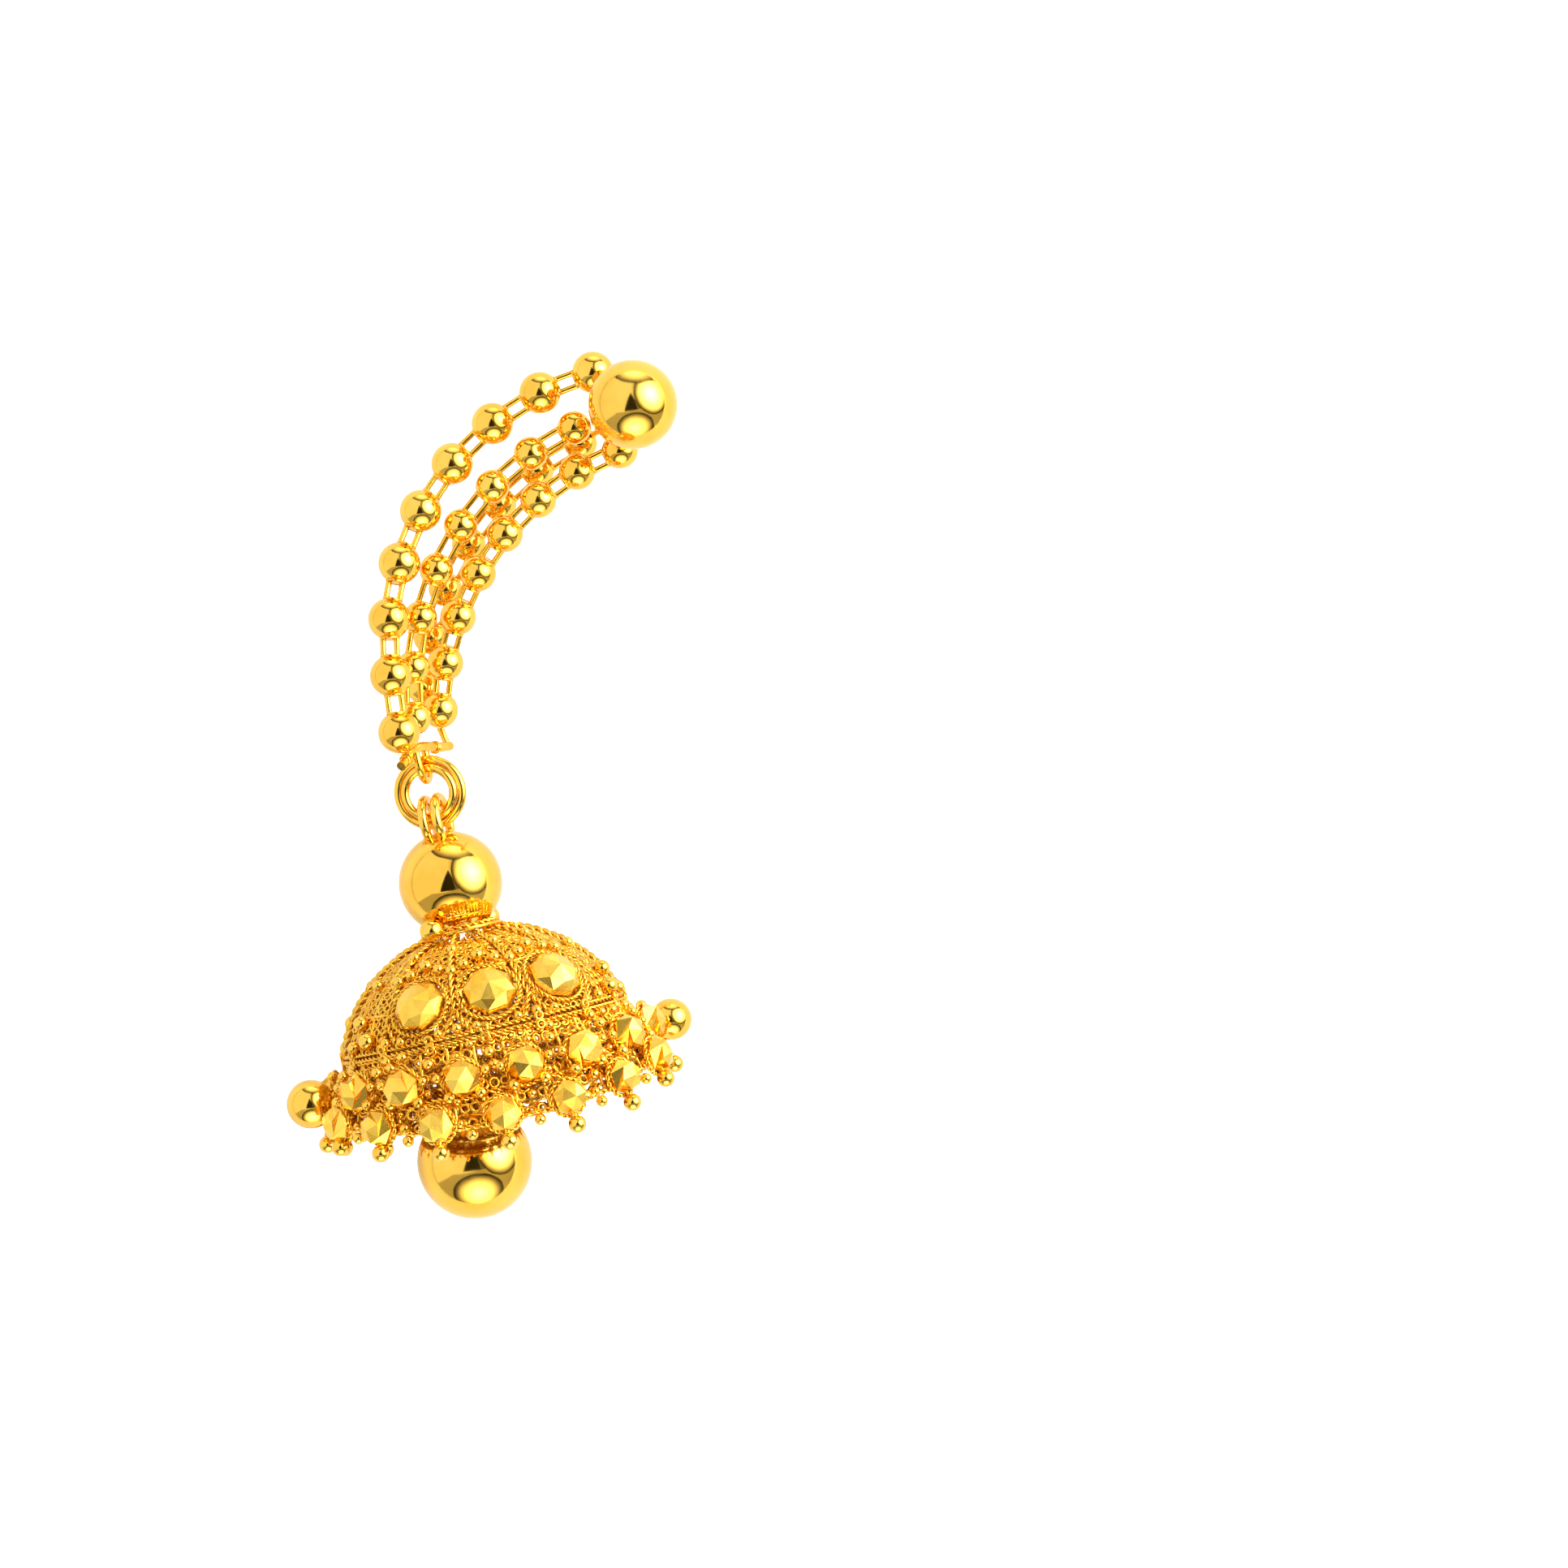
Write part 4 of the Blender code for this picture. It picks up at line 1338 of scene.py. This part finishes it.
    def build(self, shop: Workshop) -> None:
        """Make the dome in four pieces: its ropes, its lace, its bosses and its granules.

        Args:
            shop: The workshop with the trees.
        """
        ribs, crest, thin = [], [], []
        for turn in (0.0, 180.0):
            for c in (-49.5, -16.5, 16.5, 49.5):
                ribs.append(self.meridian(c + turn, self.top - 2, self.split, 0.14))
                for side in (-1, 1):
                    ribs.append([
                        BELL.dome(c + turn + side * self.split_half * k / 6,
                                  self.split + (self.foot - self.split) * k / 6, 0.1) for k in range(7)])
            for c in self.crest:
                crest.append(self.meridian(c + turn, self.top - 2, self.foot, 0.24 if c == 90.0 else 0.16))
            for c in self.panels:
                thin.append(self.meridian(c + turn, self.top, self.boss_polar - 13.0, 0.0))
                thin.append(self.meridian(c - 7.0 + turn, self.top + 6, 44.0, 0.0))
                thin.append(self.meridian(c + 7.0 + turn, self.top + 6, 44.0, 0.0))
            for low, high in ((49.5, 86.0), (94.0, 130.5)):
                for polar in (30.0, 45.0, 59.0):
                    thin.append(self.parallel(polar, low + turn, high + turn, 0.02))
                for share in (0.33, 0.67):
                    thin.append(self.meridian(low + (high - low) * share + turn, 18.0, self.foot, 0.02))
            for polar in (29.5, 45.0):
                thin.append(self.parallel(polar, -49.5 + turn, 49.5 + turn, 0.02, 40))
        hoops = [[BELL.round(a, BELL.rows[0][0] + reach, z) for a in range(0, 360, 4)]
                 for reach, z in ((0.12, -35.0), (0.2, -35.35))]
        piece = Piece("dome_ropes", Body.DROP, Slot.LACE, "dome")
        piece.add(shop.ropes(ribs, self.rope, DRAWN), DRAWN)
        piece.add(shop.ropes(crest, self.rope, DRAWN), DRAWN)
        piece.add(shop.ropes(hoops, 0.09, DRAWN, closed=True), DRAWN)
        rings = []
        for _, seat, out in self.bosses():
            aside = UP.cross(out).normalized()
            rings.append(circle(seat + out * 0.08, aside, out.cross(aside), self.boss_ring, 48))
        piece.add(shop.ropes(rings, self.fine_rope, DRAWN, closed=True), DRAWN)
        piece.add(shop.wires(thin, 0.1, LACE, sides=6), LACE)
        piece.done()

        piece = Piece("dome_lace", Body.DROP, Slot.LACE)
        piece.add(shop.loops(self.lace(0.0, 0.0), LACE, 0.42, 10, 5), LACE)
        piece.done()
        # The inner layer's darker, reddish finish is painted shade in the dome's hollows; its matt roughness is the
        # pickle's
        piece = Piece("dome_inner_lace", Body.DROP, Slot.LACE)
        piece.add(shop.loops(self.lace(0.3, 0.5), PICKLED, 0.5, 8, 4), PICKLED)
        piece.done()

        form = hidden_form("boss_form", boss_rings())
        piece = Piece("dome_bosses", Body.DROP, Slot.LACE)
        settings = [Setting(seat + out * 0.3, out, self.boss, math.radians(9 + 7 * k))
                    for k, (_, seat, out) in enumerate(self.bosses())]
        piece.add(shop.cuts(settings, form, CUT), CUT)
        piece.done()
        bpy.data.objects.remove(form)

        piece = Piece("dome_granules", Body.DROP, Slot.LACE)
        piece.add(shop.balls(self.granules(), BUFFED, 14), BUFFED)
        piece.done()


@dataclass
class NeckCollar:
    """The rope collar on top of the dome, with its two granules."""

    radius: float = 2.35
    z: float = -28.85
    granule: float = 0.75
    reach: float = 3.1
    granule_z: float = -28.6

    def build(self, shop: Workshop) -> None:
        """Make the collar.

        Args:
            shop: The workshop with the trees.
        """
        one, two = Vector((1, 0, 0)), Vector((0, 1, 0))
        piece = Piece("neck_collar_ropes", Body.DROP, Slot.WIRE, "neck_collar")
        ring = circle(on_axis(self.z + 0.05), one, two, self.radius - 0.1, 60)
        piece.add(shop.ropes([ring], 0.11, DRAWN, closed=True), DRAWN)
        lower = circle(on_axis(self.z - 0.12), one, two, self.radius + 0.1, 60)
        piece.add(shop.wires([lower], 0.12, DRAWN, closed=True), DRAWN)
        settings = [Setting(BELL.round(a, self.reach, self.granule_z), UP, self.granule) for a in (-32.0, 148.0)]
        piece.add(shop.balls(settings, BUFFED, 32), BUFFED)
        piece.done()


@dataclass
class Border:
    """The flared border: posts, cut beads in ring settings, lace, and a fringe of granules."""

    units: int = 16
    first: float = 14.2
    upper: tuple[float, float, float, float] = (1.22, 10.05, -36.95, 0.35)
    lower: tuple[float, float, float, float] = (1.12, 10.7, -38.55, 0.85)
    fringe: tuple[float, float, float, float] = (0.55, 10.95, -39.95, 1.0)
    loop: float = 0.28
    seed: int = 23

    def place(self, spec: tuple[float, float, float, float], angle: float) -> Setting:
        """A bead's place.

        Args:
            spec: Radius, reach, height and share of the droop.
            angle: Angle round the axis.

        Returns:
            Its setting, which faces outwards.
        """
        size, reach, z, fall = spec
        point = BELL.round(angle, reach, z - BELL.droop_depth * fall * BELL.droop(angle))
        return Setting(point, BELL.outward(angle), size, math.radians(angle * 3.7))

    def near_end(self, angle: float, room: float) -> bool:
        """Whether an angle lies closer than some degrees to an end of the bell."""
        return any(abs((angle - end + 180.0) % 360.0 - 180.0) < room for end in (BELL.turn - 90, BELL.turn + 90))

    def bead_places(self) -> tuple[list[Setting], list[Setting], list[Setting]]:
        """Settings of the upper beads, the lower beads and the fringe."""
        step = 360.0 / self.units
        upper, lower, fringe = [], [], []
        for unit in range(self.units):
            a = self.first + unit * step
            b = a + step / 2
            if not self.near_end(a, step / 2):
                upper.append(self.place(self.upper, a))
            if not self.near_end(b, step / 3):
                lower.append(self.place(self.lower, b))
            fringe.append(self.place(self.fringe, b))
        return upper, lower, fringe

    def lace(self, beads: Sequence[Setting], depth: float) -> list[Setting]:
        """Loops that fill the border between the beads.

        Args:
            beads: The beads, whose seats stay clear.
            depth: How far the loops lie inside the face.

        Returns:
            The loops' places.
        """
        rng = np.random.default_rng(self.seed)
        made = []
        for k in range(7):
            share = 0.35 + 4.4 * k / 6
            count = 88
            for i in range(count):
                angle = 360.0 * (i + 0.5 * (k % 2) + depth) / count
                place = BELL.border(angle, share, -depth)
                if any((place - b.place).length < b.size * 0.85 for b in beads) or rng.random() < 0.05:
                    continue
                lean = Vector(rng.normal(0.0, 0.25, 3))
                made.append(Setting(place, BELL.border_normal(angle, share) + lean,
                                    self.loop * float(rng.uniform(0.85, 1.15))))
        return made

    def build(self, shop: Workshop) -> None:
        """Make the border in its pieces.

        Args:
            shop: The workshop with the trees.
        """
        upper, lower, fringe = self.bead_places()
        piece = Piece("border_ropes", Body.DROP, Slot.LACE, "skirt")
        rows = [[BELL.border(a, share, 0.05) for a in range(0, 360, 3)] for share in (0.1, 2.9, 4.9)]
        piece.add(shop.ropes(rows, 0.11, DRAWN, closed=True), DRAWN)
        rings = []
        for bead in upper + lower:
            out = bead.axis.normalized()
            aside = UP.cross(out).normalized()
            rings.append(circle(bead.place - out * 0.25, aside, UP, bead.size + 0.02, 28))
        piece.add(shop.ropes(rings, 0.085, DRAWN, closed=True), DRAWN)
        step = 360.0 / self.units
        stays, links = [], []
        for unit in range(self.units):
            a = self.first + unit * step
            for angle in (a - 5.4, a + 5.4):
                stays.append([BELL.border(angle, share, -0.05) for share in (0.1, 1, 2, 3, 4, 4.9)])
        for drop in fringe:
            top = drop.place + UP * 1.0 - drop.axis.normalized() * 0.3
            links.append([top, drop.place + UP * 0.3])
        piece.add(shop.wires(stays, 0.13, DRAWN, sides=6), DRAWN)
        piece.add(shop.wires(links, 0.2, DRAWN, sides=8), DRAWN)
        piece.done()

        posts = []
        for k in range(self.units):
            angle = self.first - 11.3 + k * step
            for side in (-1.2, 1.2):
                posts.append([BELL.round(angle + side, 8.85, -34.75), BELL.round(angle + side, 8.9, -35.7)])
        piece = Piece("border_posts", Body.DROP, Slot.LACE)
        ovals = [Setting(BELL.round(self.first - 11.3 + k * step, 8.95, z), BELL.outward(self.first - 11.3 + k * step),
                         0.24) for k in range(self.units) for z in (-34.95, -35.5)]
        piece.add(shop.loops(ovals, DRAWN, 0.4, 12, 6), DRAWN)
        piece.add(shop.wires(posts, 0.1, DRAWN, sides=6), DRAWN)
        piece.done()

        form = hidden_form("bead_form", bead_rings())
        piece = Piece("border_cut_beads", Body.DROP, Slot.LACE)
        piece.add(shop.cuts(upper + lower, form, CUT), CUT)
        piece.done()
        bpy.data.objects.remove(form)

        piece = Piece("border_lace", Body.DROP, Slot.LACE)
        piece.add(shop.loops(self.lace(upper + lower, 0.05), LACE, 0.4, 10, 5), LACE)
        piece.done()
        # The inner layer's darker, reddish finish is painted shade in the border's hollows; its matt roughness is the
        # pickle's
        piece = Piece("border_inner_lace", Body.DROP, Slot.LACE)
        piece.add(shop.loops(self.lace(upper + lower, 0.35), PICKLED, 0.5, 8, 4), PICKLED)
        piece.done()

        grains = list(fringe)
        rng = np.random.default_rng(self.seed + 1)
        for seat in self.lace(upper + lower, 0.0):
            if rng.random() < 0.30:
                size = float(rng.uniform(0.24, 0.38))
                grains.append(Setting(seat.place + seat.axis.normalized() * size * 0.6, seat.axis, size))
        for unit in range(self.units):
            a = self.first + unit * step
            grains.append(self.place((0.34, 9.75, -36.0, 0.2), a + step / 2))
            grains.append(self.place((0.38, 10.2, -37.5, 0.6), a + step / 4))
            grains.append(self.place((0.38, 10.2, -37.5, 0.6), a - step / 4))
            grains.append(self.place((0.36, 10.7, -39.3, 0.9), a))
            grains.append(self.place((0.3, 10.1, -36.6, 0.4), a + step / 2.6))
            grains.append(self.place((0.3, 10.1, -36.6, 0.4), a - step / 2.6))
        piece = Piece("border_granules", Body.DROP, Slot.LACE)
        piece.add(shop.balls(grains, BUFFED, 16), BUFFED)
        piece.done()


@dataclass
class EndBalls:
    """The plain balls at the border's two ends, each on a stub with a rope collar."""

    reach: float = 11.43
    z: float = -37.3
    stub_from: float = 9.88
    stub: float = 0.35

    def build(self, shop: Workshop) -> None:
        """Make both balls.

        Args:
            shop: The workshop with the trees.
        """
        for name, angle, size in (("end_ball_left", BELL.turn - 90, 1.5), ("end_ball_right", BELL.turn + 90, 1.3)):
            centre = BELL.round(angle, self.reach, self.z)
            out = BELL.outward(angle)
            piece = Piece(name + "_polished", Body.DROP, Slot.POLISHED, name)
            piece.add(shop.balls([Setting(centre, out, size)], BUFFED, 64), BUFFED)
            piece.add(shop.wires([[BELL.round(angle, self.stub_from, self.z), centre]], self.stub, DRAWN, sides=16),
                      DRAWN)
            collar = circle(centre - out * (size * 0.93), UP.cross(out), UP, 0.55, 28)
            piece.add(shop.ropes([collar], 0.1, DRAWN, closed=True), DRAWN)
            piece.done()


@dataclass
class CrossBar:
    """The bar across the inside of the bell, a plain rod."""

    z: float = -35.75
    radius: float = 0.4
    half: float = 7.75

    def build(self, shop: Workshop) -> None:
        """Make the bar.

        Args:
            shop: The workshop with the trees.
        """
        piece = Piece("cross_bar_rod", Body.DROP, Slot.WIRE, "cross_bar")
        ends = [on_axis(self.z) + Vector((side * self.half, 0, 0)) for side in (-1, 1)]
        piece.add(shop.wires([ends], self.radius, DRAWN, sides=20), DRAWN)
        piece.done()


@dataclass
class BottomBall:
    """The large ball in the bell's mouth, with its stalk and its loop round the bar."""

    x: float = -20.0
    z: float = -43.05
    radius: float = 3.55
    bar_z: float = -35.75
    loop: float = 1.0
    wire: float = 0.28

    def build(self, shop: Workshop) -> None:
        """Make the ball.

        Args:
            shop: The workshop with the trees.
        """
        base = Vector((self.x, AXIS.y, 0))
        piece = Piece("bottom_ball_polished", Body.CLAPPER, Slot.POLISHED, "bottom_ball")
        piece.add(shop.balls([Setting(base + UP * self.z, UP, self.radius)], BUFFED, 112), BUFFED)
        ring = circle(base + UP * self.bar_z, Vector((0, 1, 0)), UP, self.loop, 40)
        piece.add(shop.wires([ring], self.wire, DRAWN, closed=True, sides=12), DRAWN)
        stalk = [base + UP * (self.bar_z - self.loop), base + UP * (self.z + self.radius * 0.9)]
        piece.add(shop.wires([stalk], self.wire, DRAWN, sides=12), DRAWN)
        collar = circle(base + UP * (self.z + self.radius - 0.1), Vector((1, 0, 0)), Vector((0, 1, 0)), 0.75, 32)
        piece.add(shop.ropes([collar], 0.12, DRAWN, closed=True), DRAWN)
        piece.done()


# ---- The studio ----


@dataclass(frozen=True)
class SoftBox:
    """A round lamp whose light fades towards its rim."""

    name: str
    way: tuple[float, float, float]
    spread: float
    strength: float
    fade: float


@dataclass
class Studio:
    """Camera, lamps and the pale surfaces round the earring; the ways are in the camera's turn."""

    aim: tuple[float, float, float] = (3.79, -3.0, -24.69)
    roll: float = 13.0
    distance: float = 0.4
    frame_width: float = 0.0966
    wall_y: float = 0.0105
    floor_z: float = -1.0
    reach: float = 0.8
    boxes: tuple[SoftBox, ...] = (
        SoftBox("key_box", (0.74, -0.55, 0.38), 46.0, 16.0, 2.0),
        SoftBox("low_box", (0.12, -0.42, -0.90), 42.0, 8.0, 2.0),
        SoftBox("top_box", (0.05, 0.0, 1.0), 36.0, 4.0, 1.5),
    )
    surround_left: float = 1.15
    surround_right: float = 0.18
    seen_white: float = 1.0
    seen_paper: float = 0.74

    def build(self) -> None:
        """Make the camera, the lamps and the surfaces."""
        self.build_camera()
        for box in self.boxes:
            self.build_box(box)
        self.build_dark_card()
        self.build_surfaces()
        self.build_world()
        bpy.context.scene.view_settings.view_transform = "Standard"

    def turned(self, way: Vector) -> Vector:
        """Turn a direction of the camera's right, back and up into the frame.

        Args:
            way: The direction.

        Returns:
            The unit direction in the frame.
        """
        return (Matrix.Rotation(math.radians(self.roll), 3, "Y") @ Vector(way)).normalized()

    def build_camera(self) -> None:
        """A long lens, level with the earring and rolled as in the photograph."""
        data = bpy.data.cameras.new("camera")
        data.sensor_width = 36.0
        data.lens = 36.0 * self.distance / self.frame_width
        data.clip_start = 0.01
        item = bpy.data.objects.new("camera", data)
        turn = Matrix((self.turned((1, 0, 0)), self.turned((0, 0, 1)), Vector((0, -1, 0)))).transposed()
        place = Vector(self.aim) * MM + Vector((0, -self.distance, 0))
        item.matrix_world = Matrix.Translation(place) @ turn.to_4x4()
        bpy.context.scene.collection.objects.link(item)
        bpy.context.scene.camera = item

    def card(self, name: str, outline: Sequence[tuple[float, float]], way: Vector, reach: float,
             material: bpy.types.Material) -> None:
        """Hang a card that faces the earring and that the camera doesn't see.

        Args:
            name: The card's name.
            outline: Its corners, in metres from its middle.
            way: The direction that it stands in.
            reach: Its distance.
            material: Its material.
        """
        mesh = bpy.data.meshes.new(name)
        mesh.from_pydata([(x, y, 0.0) for x, y in outline], [], [tuple(range(len(outline)))])
        mesh.materials.append(material)
        item = bpy.data.objects.new(name, mesh)
        turn = way.to_track_quat("Z", "Y").to_matrix().to_4x4()
        item.matrix_world = Matrix.Translation(Vector(self.aim) * MM + way * reach) @ turn
        item.visible_camera = False
        bpy.context.scene.collection.objects.link(item)

    def build_box(self, box: SoftBox) -> None:
        """Make a soft box as a glowing disc.

        Args:
            box: The lamp.
        """
        radius = self.reach * math.tan(math.radians(box.spread))
        made = bpy.data.materials.new(box.name)
        made.use_nodes = True
        tree = made.node_tree
        tree.nodes.clear()
        place = add_node(tree, "ShaderNodeTexCoord").outputs["Object"]
        far = add_node(tree, "ShaderNodeVectorMath", {0: place}, operation="LENGTH").outputs["Value"]
        inward = add_node(
            tree, "ShaderNodeMapRange", {"Value": far, "From Min": radius, "From Max": 0.0},
        ).outputs["Result"]
        fade = add_node(tree, "ShaderNodeMath", {0: inward, 1: box.fade}, operation="POWER").outputs[0]
        glow = add_node(tree, "ShaderNodeMath", {0: fade, 1: box.strength}, operation="MULTIPLY").outputs[0]
        light = add_node(tree, "ShaderNodeEmission", {"Color": linear("FFFDF8"), "Strength": glow})
        add_node(tree, "ShaderNodeOutputMaterial", {"Surface": light.outputs["Emission"]})
        turns = [math.tau * k / 48 for k in range(48)]
        outline = [(radius * math.cos(a), radius * math.sin(a)) for a in turns]
        self.card(box.name, outline, self.turned(box.way), self.reach, made)

    def build_dark_card(self) -> None:
        """The dark gap behind the camera that the balls mirror in their middles."""
        made = bpy.data.materials.new("black_cloth")
        made.use_nodes = True
        made.node_tree.nodes["Principled BSDF"].inputs["Base Color"].default_value = linear("0A0806")
        made.node_tree.nodes["Principled BSDF"].inputs["Roughness"].default_value = 1.0
        outline = [(-0.36, -0.20), (0.13, -0.24), (0.11, 0.10), (0.02, 0.42), (-0.14, 0.18)]
        self.card("black_cloth", outline, self.turned((0.0, -1.0, 0.0)), self.reach * 0.95, made)

    def build_surfaces(self) -> None:
        """The pale wall behind, seen from its front alone, and the pale floor far below."""
        low, wide = self.floor_z, 3.0
        for name, corners in (
            ("backdrop", [(-wide, self.wall_y, low), (wide, self.wall_y, low), (wide, self.wall_y, wide),
                          (-wide, self.wall_y, wide)]),
            ("floor", [(-wide, -wide, low), (wide, -wide, low), (wide, wide, low), (-wide, wide, low)]),
        ):
            mesh = bpy.data.meshes.new(name)
            mesh.from_pydata(corners, [], [(0, 1, 2, 3)])
            mesh.materials.append(self.paper(name, name == "backdrop"))
            item = bpy.data.objects.new(name, mesh)
            bpy.context.scene.collection.objects.link(item)

    def paper(self, name: str, one_sided: bool) -> bpy.types.Material:
        """White matt paper, lit up for the eye as an overexposed studio wall.

        Args:
            name: The material's name.
            one_sided: Whether it is seen from its front alone.

        Returns:
            The material.
        """
        made = bpy.data.materials.new(f"{name}_paper")
        made.use_nodes = True
        tree = made.node_tree
        tree.nodes.clear()
        matt = add_node(tree, "ShaderNodeBsdfDiffuse", {"Color": linear("D8D6D3")}).outputs["BSDF"]
        seen = add_node(tree, "ShaderNodeLightPath").outputs["Is Camera Ray"]
        lit = add_node(tree, "ShaderNodeMath", {0: seen, 1: self.seen_paper}, operation="MULTIPLY").outputs[0]
        glow = add_node(tree, "ShaderNodeEmission", {"Strength": lit}).outputs["Emission"]
        shade = add_node(tree, "ShaderNodeAddShader", {0: matt, 1: glow}).outputs["Shader"]
        if one_sided:
            back = add_node(tree, "ShaderNodeNewGeometry").outputs["Backfacing"]
            clear = add_node(tree, "ShaderNodeBsdfTransparent").outputs["BSDF"]
            shade = add_node(tree, "ShaderNodeMixShader", {0: back, 1: shade, 2: clear}).outputs["Shader"]
        add_node(tree, "ShaderNodeOutputMaterial", {"Surface": shade})
        return made

    def build_world(self) -> None:
        """An even pale surround that is white to the eye."""
        world = bpy.data.worlds.new("studio")
        world.use_nodes = True
        bpy.context.scene.world = world
        tree = world.node_tree
        way = add_node(tree, "ShaderNodeTexCoord").outputs["Generated"]
        rightward = add_node(
            tree, "ShaderNodeVectorMath", {0: way, 1: self.turned((1, 0, 0))}, operation="DOT_PRODUCT",
        ).outputs["Value"]
        pale = add_node(
            tree, "ShaderNodeMapRange",
            {"Value": rightward, "From Min": -0.10, "From Max": 0.25,
             "To Min": self.surround_left, "To Max": self.surround_right},
            interpolation_type="SMOOTHSTEP",
        ).outputs["Result"]
        seen = add_node(tree, "ShaderNodeLightPath").outputs["Is Camera Ray"]
        strength = add_node(
            tree, "ShaderNodeMapRange", {"Value": seen, "To Min": pale, "To Max": self.seen_white},
        ).outputs["Result"]
        shade = tree.nodes["Background"]
        shade.inputs["Color"].default_value = linear("FFFFFF")
        tree.links.new(strength, shade.inputs["Strength"])


def main() -> None:
    """Build the earring round its frame."""
    logging.basicConfig(level=logging.INFO, format="%(name)s %(message)s")
    shop = Workshop()
    parts: list[object] = [
        StudFittings(), *STRANDS, HangingGear(), TopBall(), NeckCollar(), Dome(), Border(), EndBalls(),
        CrossBar(), BottomBall(),
    ]
    for part in parts:
        part.build(shop)
    Studio().build()


if __name__ == "__main__":
    main()
